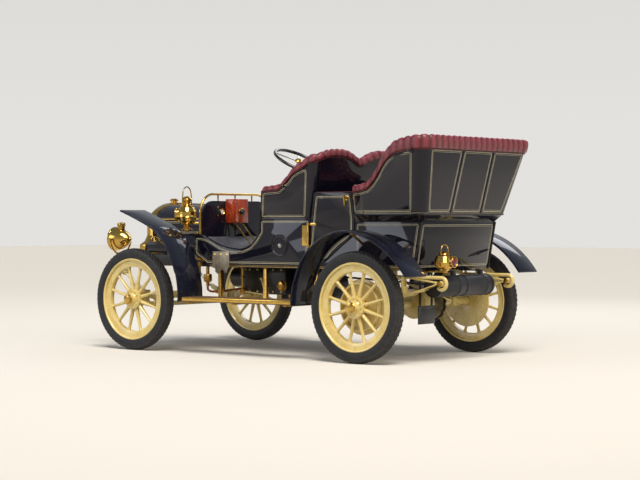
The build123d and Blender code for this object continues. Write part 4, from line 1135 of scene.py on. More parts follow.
@dataclass(frozen=True)
class TubPlan:
    """The plan of a seat shell from its belt to above its rim, with the lines that its rim follows."""

    low: tuple[tuple[float, float], ...]
    high: tuple[tuple[float, float], ...]
    low_z: float
    high_z: float
    corners: tuple[float, float]
    side_line: tuple[tuple[float, float, float], ...]
    back_line: tuple[tuple[float, float], ...]
    back_lift: float
    samples: int = 240
    corner_steps: int = 10

    def half_plan(self, z: float, inset: float) -> list[Vector]:
        """Half of the plan at a height, from its front end to the middle of its back.

        Args:
            z: The height.
            inset: How far inside the outer face.

        Returns:
            Points of x and half width.
        """
        share = (z - self.low_z) / (self.high_z - self.low_z)
        spots = [Vector((a[0] + (b[0] - a[0]) * share, a[1] + (b[1] - a[1]) * share - inset))
                 for a, b in zip(self.low, self.high)]
        spots[-1].x += inset
        corner = spots[-1]
        radius = self.corners[0] + (self.corners[1] - self.corners[0]) * share - inset * 0.5
        run, back = (spots[-2] - corner).normalized(), Vector((0.0, -1.0))
        turn = run.angle(back)
        centre = corner + (run + back).normalized() * (radius / math.sin(turn / 2))
        start = corner + run * (radius / math.tan(turn / 2)) - centre
        end = corner + back * (radius / math.tan(turn / 2)) - centre
        arc = [centre + start.slerp(end, k / self.corner_steps) * radius for k in range(self.corner_steps + 1)]
        return spots[:-1] + arc + [Vector((corner.x, 0.0))]

    def spot(self, share: float, z: float, inset: float) -> Vector:
        """A point on the plan.

        Args:
            share: From 0 at the left front end, round the back, to 1 at the right front end.
            z: The height.
            inset: How far inside the outer face.

        Returns:
            The point.
        """
        line = self.half_plan(z, inset)
        runs = [(b - a).length for a, b in zip(line, line[1:])]
        left = (1 - abs(2 * share - 1)) * sum(runs)
        for run, a, b in zip(runs, line, line[1:]):
            if left <= run:
                place = a.lerp(b, left / run if run else 0.0)
                break
            left -= run
        else:
            place = line[-1]
        return Vector((place.x, place.y if share <= 0.5 else -place.y, z))

    def length(self, z: float, inset: float) -> float:
        """The whole way round the plan at a height."""
        line = self.half_plan(z, inset)
        return 2 * sum((b - a).length for a, b in zip(line, line[1:]))

    def rim(self) -> tuple[list[float], list[float]]:
        """The rim's height and the roll's rise above it, sampled round the plan and smoothed."""
        heights, rises = [], []
        for i in range(self.samples + 1):
            z = sum(p[1] for p in self.back_line) / len(self.back_line)
            for _ in range(10):
                p = self.spot(i / self.samples, z, 0.0)
                side, rise = between(self.side_line, p.x, 1), between(self.side_line, p.x, 2)
                back = between(self.back_line, abs(p.y), 1)
                z = min(side, back)
            heights.append(z)
            rises.append(min(side + rise, back + self.back_lift) - z)
        return smoothed(heights, 3), smoothed(rises, 4)


def between(table: Sequence[Sequence[float]], at: float, column: int) -> float:
    """Reads a table of rows in falling order of their first value, with straight lines between its rows."""
    if at >= table[0][0]:
        return table[0][column]
    for a, b in zip(table, table[1:]):
        if at >= b[0]:
            return a[column] + (b[column] - a[column]) * (a[0] - at) / (a[0] - b[0])
    return table[-1][column]


def smoothed(values: Sequence[float], reach: int) -> list[float]:
    """Rounds the corners of a row of values by averaging each with its neighbours."""
    last = len(values) - 1
    return [sum(values[min(max(i + k, 0), last)] for k in range(-reach, reach + 1)) / (2 * reach + 1)
            for i in range(len(values))]


def read_row(values: Sequence[float], share: float) -> float:
    """Reads a row of values at a share from 0 to 1 of its length."""
    at = min(max(share, 0.0), 1.0) * (len(values) - 1)
    i = min(int(at), len(values) - 2)
    return values[i] + (values[i + 1] - values[i]) * (at - i)


@dataclass
class TuftedLeather:
    """Deep-buttoned leather in one skin: diamonds up the inside, pleats over the roll, a welt outside."""

    name: str
    plan: TubPlan
    stands_for: str
    bottom: float
    pleat: float = 0.06
    row: float = 0.078
    wall: float = 0.023
    roll_inner: float = 0.075
    roll_outer: float = -0.0115
    lining: float = 0.064
    tuft: float = 0.017
    seam_drop: float = 0.022
    end_round: float = 0.03
    across: int = 64
    per_pleat: int = 9

    def prepare(self) -> None:
        """Works out the rim and the number of pleats."""
        self.heights, self.rises = self.plan.rim()
        middle = sum(self.heights) / len(self.heights)
        self.round = self.plan.length(middle, self.wall)
        self.count = 2 * round(self.round / self.pleat / 2)

    def fold(self, share: float, depth: float) -> float:
        """How full the leather stands at a place: 0 in a crease, 1 on a crest.

        Args:
            share: Place round the seat.
            depth: Distance below the roll's inner seam, or less than zero on the roll.

        Returns:
            The fullness.
        """
        at = share * self.count
        if depth <= 0:
            return abs(math.sin(math.pi * at)) ** 0.62
        rows = depth / self.row
        return abs(math.sin(math.pi * (at + rows)) * math.sin(math.pi * (at - rows))) ** 0.36

    def section(self, share: float, step: float) -> tuple[float, float, float, float, float, float]:
        """The plain cross-section, before its folds.

        Args:
            share: Place round the seat.
            step: From 0 at the lining's foot, over the roll, to 1 back at the foot.

        Returns:
            Inset, height, the two parts of the outward direction, depth below the seam, and fold depth.
        """
        rim, rise = read_row(self.heights, share), read_row(self.rises, share)
        seam = rim - self.seam_drop
        if step < 0.46:
            t = step / 0.46
            z = self.bottom + (seam - self.bottom) * t
            near = min((seam - z) / 0.035, 1.0)
            return self.lining, z, 1.0, 0.0, seam - z, 0.003 + (self.tuft - 0.003) * near
        if step < 0.86:
            t = (step - 0.46) / 0.4
            turn = math.pi * t
            middle, half = (self.roll_inner + self.roll_outer) / 2, (self.roll_inner - self.roll_outer) / 2
            lean = math.copysign(abs(math.cos(turn)) ** 0.86, math.cos(turn))
            start = self.lining + 0.004
            inset = middle + half * lean
            inset = inset + (start - self.roll_inner) * max(1 - t / 0.25, 0.0)
            base = seam + (rim - 0.004 - seam) * t
            z = base + (rise + 0.01 - 0.006) * math.sin(turn) ** 0.92
            return inset, z, math.cos(turn), math.sin(turn), -1.0, 0.003 + 0.006 * math.sin(turn)
        spots = ((self.roll_outer + 0.003, rim - 0.01), (-0.0012, rim - 0.0105), (-0.001, rim + 0.0005),
                 (self.wall + 0.0006, rim + 0.0008), (self.wall + 0.0006, rim - 0.03),
                 (self.wall + 0.0006, self.bottom), (self.lining, self.bottom))
        at = (step - 0.86) / 0.14 * (len(spots) - 1)
        i = min(int(at), len(spots) - 2)
        t = at - i
        a, b = spots[i], spots[i + 1]
        return a[0] + (b[0] - a[0]) * t, a[1] + (b[1] - a[1]) * t, 0.0, 0.0, -2.0, 0.0

    def spot(self, share: float, step: float) -> tuple[Vector, float]:
        """A point of the leather with its folds.

        Args:
            share: Place round the seat.
            step: Place along the section.

        Returns:
            The point and how full the leather stands there.
        """
        inset, z, way_in, way_up, depth, deep = self.section(share, step)
        full = self.fold(share, depth) if depth > -1.5 else 0.5
        loose = noise.noise(Vector((share * self.round * 14, z * 14, 3.0))) * 0.0016 if deep else 0.0
        push = deep * full + loose - (deep * 0.35 if depth < 0 else 0.0)
        middle_inset, middle_z = 0.03, (self.bottom + read_row(self.heights, share)) / 2
        inset, z = inset + way_in * push, z + way_up * push
        left = min(share, 1 - share) * self.round
        if left < self.end_round:
            keep = math.sqrt(max(1 - (1 - left / self.end_round) ** 2, 0.0))
            inset = middle_inset + (inset - middle_inset) * keep
            z = middle_z + (z - middle_z) * (0.35 + 0.65 * keep if keep else 0.0)
        return self.plan.spot(share, z, inset), full

    @staticmethod
    def key(point: Vector) -> tuple[float, float, float]:
        """A point to the nearest hundredth of a millimetre, to find it by."""
        return round(point.x, 5), round(point.y, 5), round(point.z, 5)

    def skin(self) -> None:
        """The leather itself, with its folds kept as an attribute that the finish turns into painted shade and a
        painted highlight.
        """
        shape = Shape()
        fullness: dict[tuple[float, float, float], float] = {}

        def place(u: float, v: float) -> Vector:
            """A point for two shares."""
            point, full = self.spot(v, u % 1.0)
            fullness[self.key(point)] = full
            return point

        shape.skin(place, self.across, self.count * self.per_pleat, wrap=True)
        # The fold attribute sets the painted crease shade and the painted crest highlight.
        layer = shape.bm.verts.layers.float.new("fold")
        for v in shape.bm.verts:
            v[layer] = fullness.get(self.key(v.co), 0.5)
        made = shape.piece(
            f"{self.name}_leather", HIDE, Body.CHASSIS, Slot.LEATHER, stands_for=[self.stands_for],
            angle=math.radians(70))

    def buttons(self) -> None:
        """A covered button in every pit of the diamonds."""
        shape = Shape()
        for j in range(0, 14):
            for i in range(1, self.count):
                share = (i + (0.5 if j % 2 else 0.0)) / self.count
                if share >= 1:
                    continue
                z = read_row(self.heights, share) - self.seam_drop - self.row * j / 2
                if z < self.bottom + 0.02 or min(share, 1 - share) * self.round < 0.04:
                    continue
                spot = self.plan.spot(share, z, self.lining + 0.0015)
                inward = self.plan.spot(share, z, self.lining + 0.02) - spot
                shape.dome(spot, inward, 0.0085, 0.0045, 10)
        shape.piece(f"{self.name}_buttons", HIDE, Body.CHASSIS, Slot.LEATHER, angle=math.radians(60))

    def welt(self) -> None:
        """The corded welt under the roll, outside the shell."""
        shape = Shape()

        def place(u: float, v: float) -> Vector:
            """A point on the welt."""
            share = 0.004 + 0.992 * v
            turn = 2 * math.pi * u
            keep = 0.0 if v in (0.0, 1.0) else 0.0042
            rim = read_row(self.heights, share)
            return self.plan.spot(share, rim - 0.0145 + keep * math.sin(turn), -0.004 - keep * math.cos(turn))

        shape.skin(place, 8, 300, wrap=True)
        shape.piece(f"{self.name}_welt", HIDE, Body.CHASSIS, Slot.LEATHER)

    def build(self) -> None:
        """Makes the leather, its buttons and its welt."""
        self.prepare()
        self.skin()
        self.buttons()
        self.welt()


@dataclass
class Cushion:
    """A sprung seat cushion, buttoned and then blown up as cloth so that it stands in its seams."""

    name: str
    plan: TubPlan
    stands_for: str
    low: float
    high: float
    front: float
    inset: float = 0.036
    voxel: float = 0.006
    pressure: float = 4.0
    cap: float = 0.011
    button_gap: float = 0.105
    button_pit: float = 0.015

    def outline(self) -> list[Vector]:
        """The cushion's plan, from the left front corner round the back to the right one."""
        z = (self.low + self.high) / 2
        half = [p for p in self.plan.half_plan(max(z, self.plan.low_z), self.inset) if p.x < self.front - 0.01]
        first = self.plan.half_plan(max(z, self.plan.low_z), self.inset)
        start = next(
            a.lerp(b, (a.x - self.front) / (a.x - b.x)) for a, b in zip(first, first[1:]) if a.x >= self.front > b.x)
        line = [Vector((self.front - 0.012, start.y - 0.001)), *half]
        front = [Vector((self.front, start.y - 0.014))]
        side = front + line
        return [Vector((p.x, p.y, 0)) for p in side] + [Vector((p.x, -p.y, 0)) for p in side[-2::-1]]

    def buttons(self) -> list[Vector]:
        """The places of the buttons on the top."""
        places = []
        rows = 3
        back = min(p.x for p in self.outline())
        step = (self.front - back) / (rows + 0.6)
        for row in range(rows):
            x = self.front - step * (row + 0.8)
            half = between([(p.x, p.y) for p in self.outline() if p.y >= 0][::1], x, 1) - 0.05
            count = int(2 * half / self.button_gap)
            shift = 0.5 if row % 2 else 0.0
            for i in range(-count, count + 1):
                y = (i + shift) * self.button_gap
                if abs(y) < half:
                    places.append(Vector((x, y, self.high)))
        return places

    def block(self) -> bpy.types.Object:
        """The plain block, a little low, that the cloth starts from."""
        shape = Shape()
        top = self.high - self.cap
        outline = [Vector((p.x, p.y, self.low + 0.001)) for p in self.outline()]
        shape.plate(outline, (0, 0, top - self.low - 0.001), edge=0.014, segments=3)
        shape.outward()
        mesh = bpy.data.meshes.new(f"{self.name}_cover")
        shape.bm.to_mesh(mesh)
        shape.bm.free()
        made = bpy.data.objects.new(f"{self.name}_cover", mesh)
        bpy.context.scene.collection.objects.link(made)
        remesh = made.modifiers.new("grid", "REMESH")
        remesh.mode = "VOXEL"
        remesh.voxel_size = self.voxel
        graph = bpy.context.evaluated_depsgraph_get()
        dense = bpy.data.meshes.new_from_object(made.evaluated_get(graph))
        made.modifiers.clear()
        made.data = dense
        bpy.data.meshes.remove(mesh)
        return made

    def build(self) -> None:
        """Makes the cushion, blows it up and buttons it."""
        made = self.block()
        places = self.buttons()
        top = self.high - self.cap
        held = made.vertex_groups.new(name="held")
        before = []
        for v in made.data.vertices:
            near = min((math.hypot(v.co.x - p.x, v.co.y - p.y) for p in places), default=1.0)
            if v.co.z > top - 0.004:
                v.co.z -= self.button_pit * math.exp(-(near / 0.03) ** 2)
                if near < 0.01:
                    held.add([v.index], 1.0, "REPLACE")
            elif v.co.z < self.low + 0.012:
                held.add([v.index], 1.0, "REPLACE")
            before.append(v.co.copy())
        self.blow(made, before)
        made.data.shade_smooth()
        made.data.update()
        # The fold attribute is low round each button, so the finish paints shade in the button pits.
        crest = made.data.attributes.new("fold", "FLOAT", "POINT")
        for v in made.data.vertices:
            near = min((math.hypot(v.co.x - p.x, v.co.y - p.y) for p in places), default=1.0)
            crest.data[v.index].value = min(0.1 + near / 0.05, 0.75)
        dress(made, HIDE, Body.CHASSIS, Slot.LEATHER, [self.stands_for])
        knobs = Shape()
        for p in places:
            knobs.dome((p.x, p.y, top - self.button_pit - 0.0005), (0, 0, 1), 0.009, 0.0045, 10)
        knobs.piece(f"{self.name}_buttons", HIDE, Body.CHASSIS, Slot.LEATHER, angle=math.radians(60))

    def blow(self, made: bpy.types.Object, before: list[Vector]) -> None:
        """Runs the cloth with air inside it and keeps where it comes to rest."""
        cloth = made.modifiers.new("stuffing", "CLOTH")
        settings = cloth.settings
        settings.quality = 4
        settings.mass = 0.25
        settings.tension_stiffness = settings.compression_stiffness = 12.0
        settings.shear_stiffness = 4.0
        settings.bending_stiffness = 0.4
        settings.use_pressure = True
        settings.uniform_pressure_force = self.pressure
        settings.vertex_group_mass = "held"
        settings.effector_weights.gravity = 0.0
        cloth.collision_settings.use_collision = False
        cloth.point_cache.frame_start, cloth.point_cache.frame_end = 1, 20
        scene = bpy.context.scene
        for frame in range(1, 21):
            scene.frame_set(frame)
        graph = bpy.context.evaluated_depsgraph_get()
        rested = [v.co.copy() for v in made.evaluated_get(graph).to_mesh().vertices]
        made.modifiers.clear()
        for v, start, end in zip(made.data.vertices, before, rested):
            moved = end - start
            if moved.length > self.cap:
                moved *= self.cap / moved.length
            v.co = start + moved
        scene.frame_set(1)


FRONT_PLAN = TubPlan(
    low=((0.02, 0.463), (-0.47, 0.463)), high=((-0.09077, 0.55628), (-0.624495, 0.55628)), low_z=1.017,
    high_z=1.6, corners=(0.046, 0.08),
    side_line=((0.05, 1.224, 0.034), (-0.118, 1.235, 0.036), (-0.194, 1.239, 0.04), (-0.239, 1.267, 0.046),
               (-0.298, 1.311, 0.05), (-0.343, 1.356, 0.052), (-0.416, 1.388, 0.054), (-0.48, 1.412, 0.056),
               (-0.52, 1.54, 0.056), (-0.8, 1.54, 0.056)),
    back_line=((0.7, 1.39), (0.56, 1.422), (0.525, 1.439), (0.44, 1.47), (0.348, 1.484), (0.213, 1.484),
               (0.13, 1.468), (0.075, 1.446), (0.0, 1.413)), back_lift=0.054)
REAR_PLAN = TubPlan(
    low=((-0.891, 0.476), (-1.011, 0.52), (-1.53, 0.547)), high=((-0.891, 0.56), (-1.011, 0.632), (-1.678, 0.701)),
    low_z=1.047, high_z=1.605, corners=(0.08, 0.11),
    side_line=((-0.8, 1.214, 0.044), (-1.003, 1.22, 0.046), (-1.084, 1.24, 0.05), (-1.129, 1.275, 0.056),
               (-1.182, 1.323, 0.062), (-1.235, 1.385, 0.066), (-1.296, 1.443, 0.072), (-1.366, 1.483, 0.08),
               (-1.452, 1.497, 0.088), (-1.614, 1.508, 0.093), (-1.9, 1.512, 0.093)),
    back_line=((0.9, 1.512), (0.0, 1.512)), back_lift=0.093)


class Seats:
    """The front seat and the tonneau: tufted leather and sprung cushions."""

    def build(self) -> None:
        """Makes the leather and the cushion of each seat."""
        TuftedLeather("front_seat", FRONT_PLAN, "front_seat_backrest", 1.106).build()
        TuftedLeather("tonneau", REAR_PLAN, "tonneau_backrest", 1.153, pleat=0.064, row=0.088).build()
        Cushion("front_cushion", FRONT_PLAN, "front_seat_cushion", 1.0003, 1.11, -0.06).build()
        Cushion("tonneau_cushion", REAR_PLAN, "tonneau_cushion", 1.0473, 1.157, -1.08).build()


def rounded(points: Sequence[Point], radius: float, steps: int = 5) -> list[Vector]:
    """Rounds the corners of a closed outline in two dimensions.

    Args:
        points: The corners in order.
        radius: How far from each corner the rounding starts.
        steps: Points in each corner.

    Returns:
        The rounded outline.
    """
    spots = [Vector(p) for p in points]
    line = []
    for before, corner, after in zip(spots[-1:] + spots[:-1], spots, spots[1:] + spots[:1]):
        a = corner + (before - corner).normalized() * min(radius, (before - corner).length * 0.45)
        b = corner + (after - corner).normalized() * min(radius, (after - corner).length * 0.45)
        line += [a.lerp(corner, t).lerp(corner.lerp(b, t), t) for t in (k / steps for k in range(steps + 1))]
    return line


def drawn_in(points: Sequence[Point], distance: float) -> list[Vector]:
    """The same closed outline, each side moved inwards."""
    spots = [Vector(p) for p in points]
    area = sum(a.x * b.y - b.x * a.y for a, b in zip(spots, spots[1:] + spots[:1]))
    turn = 1 if area > 0 else -1
    moved = []
    for before, corner, after in zip(spots[-1:] + spots[:-1], spots, spots[1:] + spots[:1]):
        first, second = (corner - before).normalized(), (after - corner).normalized()
        a, b = Vector((-first.y, first.x)) * turn, Vector((-second.y, second.x)) * turn
        moved.append(corner + (a + b) * (distance / max(1 + a.dot(b), 0.4)))
    return moved


def dense(points: Sequence[Vector], gap: float, closed: bool) -> list[Vector]:
    """Puts more points on a line, so that it can follow a curved panel."""
    spots = list(points) + ([points[0]] if closed else [])
    line = []
    for a, b in zip(spots, spots[1:]):
        count = max(int((b - a).length / gap), 1)
        line += [a.lerp(b, k / count) for k in range(count)]
    return line if closed else line + [spots[-1]]


@dataclass
class CoachLines:
    """Fine painted lines on the panels, each laid on the surface that it meets."""

    frame: Frame
    wide: float = 0.0042
    fine: float = 0.0022
    gap: float = 0.01
    paint: float = 0.0005
    step: float = 0.014

    def lay(self, shape: Shape, spots: Sequence[tuple[Vector, Vector]], width: float, closed: bool) -> None:
        """Lays a strip of paint along points of a surface.

        Args:
            shape: The shape that takes it in.
            spots: Points with the surface's outward direction.
            width: Width of the strip.
            closed: Whether it joins up.
        """
        last = len(spots) - (0 if closed else 1)
        corners = ((-0.5, 0.0), (-0.38, 1.0), (0.38, 1.0), (0.5, 0.0))

        def place(u: float, v: float) -> Vector:
            """A point on the strip."""
            i = round(v * last)
            spot, normal = spots[i % len(spots)]
            before = spots[(i - 1) % len(spots) if closed else max(i - 1, 0)][0]
            after = spots[(i + 1) % len(spots) if closed else min(i + 1, last)][0]
            side = (after - before).cross(normal).normalized()
            across, up = corners[round(u * 4) % 4]
            if not closed and i in (0, last):
                across = 0.0
            return spot + side * across * width + normal * (self.paint * up - 0.0002)

        shape.skin(place, 4, last, wrap=True, wrap_along=closed)

    def on_panel(self, shape: Shape, node: str, outline: Sequence[Point], view: str, width: float,
                 closed: bool = True, side: int = 1) -> None:
        """Draws a flat outline on a node, seen from the side or the rear."""
        spots = []
        for p in dense([Vector(q) for q in outline], self.step, closed):
            if view == "side":
                found = self.frame.meet(node, (p.x, side * 1.5, p.y), (0, -side, 0))
            else:
                found = self.frame.meet(node, (-2.6, p.x, p.y), (1, 0, 0))
            if found:
                spots.append(found)
        if len(spots) > 3:
            self.lay(shape, spots, width, closed)

    def framed(self, shape: Shape, node: str, outline: Sequence[Point], view: str, side: int = 1) -> None:
        """Draws a double frame: a broad line and a fine one inside it."""
        self.on_panel(shape, node, rounded(outline, 0.016), view, self.wide, side=side)
        self.on_panel(shape, node, rounded(drawn_in(outline, self.gap), 0.012), view, self.fine, side=side)

    def round_plan(self, shape: Shape, plan: TubPlan, z: float, first: float, last: float, width: float) -> None:
        """Draws a level line round a seat shell."""
        spots = []
        for i in range(161):
            share = first + (last - first) * i / 160
            spot = plan.spot(share, z, -0.0001)
            spots.append((spot, (spot - plan.spot(share, z, 0.02)).normalized()))
        self.lay(shape, spots, width, False)

    def sides(self, shape: Shape) -> None:
        """The frames of both sides' fixed panels, with the one that runs under the swoop."""
        # columns: x, z in side view
        tonneau = ((-0.905, 1.066), (-0.905, 1.192), (-1.003, 1.197), (-1.08, 1.214), (-1.135, 1.252), (-1.195, 1.308),
                   (-1.245, 1.368), (-1.3, 1.418), (-1.37, 1.456), (-1.452, 1.47), (-1.53, 1.476), (-1.448, 1.066))
        seat = ((-0.004, 1.034), (-0.036, 1.207), (-0.118, 1.212), (-0.19, 1.216), (-0.245, 1.246), (-0.3, 1.288),
                (-0.348, 1.332), (-0.412, 1.36), (-0.466, 1.376), (-0.478, 1.36), (-0.42, 1.034))
        lower = ((-0.45, 1.0), (0.002, 1.0), (0.004, 0.918), (0.052, 0.856), (0.114, 0.8), (0.19, 0.772),
                 (0.27, 0.764), (0.35, 0.772), (0.427, 0.793), (0.52, 0.838), (0.6, 0.864), (0.678, 0.87),
                 (0.678, 0.756), (0.56, 0.684), (-0.424, 0.684))
        behind = ((-0.908, 0.978), (-1.452, 0.978), (-1.398, 0.672), (-0.908, 0.672))
        for side in (1, -1):
            self.framed(shape, "tonneau_shell", tonneau, "side", side)
            self.framed(shape, "front_seat_shell", seat, "side", side)
            self.framed(shape, "lower_body", lower, "side", side)
            self.framed(shape, "lower_body", behind, "side", side)

    def sills(self, shape: Shape) -> None:
        """Two gold lines along each sill."""
        for side in (1, -1):
            for z, width in ((0.657, 0.004), (0.667, 0.0022)):
                self.on_panel(shape, "lower_body", ((0.54, z), (-1.405, z)), "side", width, False, side)

    def rear(self, shape: Shape) -> None:
        """The three upper rear panels and the broad one below."""
        # columns: y, z in rear view
        middle = ((-0.168, 1.068), (0.168, 1.068), (0.168, 1.488), (-0.168, 1.488))
        outer = ((0.21, 1.068), (0.452, 1.068), (0.566, 1.488), (0.21, 1.488))
        self.framed(shape, "tonneau_shell", middle, "rear")
        self.framed(shape, "tonneau_shell", outer, "rear")
        self.framed(shape, "tonneau_shell", [(-y, z) for y, z in outer], "rear")
        self.framed(shape, "lower_body", ((-0.435, 0.676), (0.435, 0.676), (0.435, 0.972), (-0.435, 0.972)), "rear")

    def swinging(self) -> None:
        """The frames of the doors and the hood's flaps, which swing with them."""
        # columns: x, z
        door = ((-0.472, 0.728), (-0.506, 1.017), (-0.55, 1.18), (-0.856, 1.18), (-0.856, 0.918), (-0.8, 0.872),
                (-0.74, 0.838), (-0.665, 0.78), (-0.618, 0.732))
        flap = ((0.722, 0.908), (1.308, 0.908), (1.308, 0.996), (0.722, 0.996))
        for side, outline, body in ((1, door, Body.DOOR_LEFT), (-1, door, Body.DOOR_RIGHT),
                                    (1, flap, Body.FLAP_LEFT), (-1, flap, Body.FLAP_RIGHT)):
            shape = Shape()
            self.framed(shape, body.value, outline, "side", side)
            shape.piece(f"{body.value}_lines", LINE_PAINT, body)

    def build(self) -> None:
        """Paints all the lines."""
        shape = Shape()
        self.sides(shape)
        self.rear(shape)
        self.round_plan(shape, REAR_PLAN, 1.0565, 0.01, 0.99, self.fine)
        shape.piece("panel_lines", LINE_PAINT)
        gold = Shape()
        self.sills(gold)
        gold.piece("sill_lines", GOLD_LINE)
        self.swinging()


@dataclass
class Mouldings:
    """Half-round beads along the belts, the ribs of the rear panels and the rolled fender edges."""

    side: float = 0.4635
    outer: float = 0.824
    rib: float = 0.0055
    edge: float = 0.006
    wire: float = 0.0046

    def along(self, shape: Shape, plan: TubPlan, z: float, inset: float, radius: float, first: float = 0.0,
              last: float = 1.0) -> None:
        """A bead round a shell at one height."""
        def place(u: float, v: float) -> Vector:
            """A point on the bead."""
            share = first + (last - first) * v
            turn = 2 * math.pi * u
            keep = 0.0 if v in (0.0, 1.0) else radius
            return plan.spot(share, z + keep * math.sin(turn), inset - keep * math.cos(turn))

        shape.skin(place, 8, 160, wrap=True)

    def build(self) -> None:
        """Makes the beads, the ribs and the fender edges."""
        body = Shape()
        self.along(body, FRONT_PLAN, 1.017, -0.0005, 0.0065)
        self.along(body, REAR_PLAN, 1.047, 0.001, 0.007)
        for y in (-0.189, 0.189):
            body.tube([(-1.5305, y, 1.05), (-1.6555, y, 1.512)], self.rib, sides=8)
        for side in (-1, 1):
            body.tube([(-1.416, side * 0.46, 0.652), (-1.48, side * 0.46, 0.994)], self.rib, sides=8)
            body.tube([Vector((p.x, side * self.side, p.z)) for p in
                       arc_line([(0.595, 0, 0.893), (0.427, 0, 0.818), (0.27, 0, 0.79), (0.114, 0, 0.821),
                                 (0.02, 0, 0.93)], 16)], self.edge, sides=8)
            body.tube([(0.02, side * self.side, 0.93), (0.02, side * self.side, 1.017)], self.edge, sides=8)
            body.tube([(0.7, side * self.side, 0.899), (0.595, side * self.side, 0.893)], self.edge, sides=8)
        body.piece("body_beads", COACH_ENAMEL)
        self.fender_edges()

    def fender_edges(self) -> None:
        """The wired edge of each fender, which catches the light."""
        # columns: x, z, the upper face's line
        front = [(1.144, 1.084), (1.005, 1.034), (0.86, 0.976), (0.75, 0.912), (0.64, 0.784), (0.566, 0.64),
                 (0.532, 0.397)]
        rear = [(-0.59, 0.397), (-0.612, 0.56), (-0.7, 0.744), (-0.868, 0.88), (-1.069, 0.933),
                (-1.33, 0.857), (-1.605, 0.621)]
        shape = Shape()
        for points, inner in ((front, 0.56), (rear, 0.588)):
            line = arc_line([(x, 0, z) for x, z in points], 14)
            for y in (inner, self.outer):
                shape.tube([Vector((p.x, y, p.z)) - self.lean(line, i) * 0.003 for i, p in enumerate(line)], self.wire,
                           sides=8)
            for end, other in ((line[0], line[1]), (line[-1], line[-2])):
                shape.tube([end + Vector((0, inner, 0)), end + Vector((0, self.outer, 0))], self.wire, sides=8)
                inward = (other - end).normalized() * 0.03
                lift = Vector((-inward.z, 0, inward.x)).normalized()
                lift = lift if lift.z >= 0 else -lift
                for y in (inner + 0.05, self.outer - 0.05):
                    shape.dome(end + inward + Vector((0, y, 0)) + lift * 0.0005, lift, 0.007, 0.004, 10)
        shape.mirror_too()
        shape.piece("fender_wired_edges", FENDER_ENAMEL, Body.CHASSIS, Slot.FENDER)

    @staticmethod
    def lean(line: Sequence[Vector], i: int) -> Vector:
        """The upward side of a line in side view."""
        run = line[min(i + 1, len(line) - 1)] - line[max(i - 1, 0)]
        up = Vector((-run.z, 0, run.x)).normalized()
        return up if up.z >= 0 or abs(up.z) < 0.3 else -up


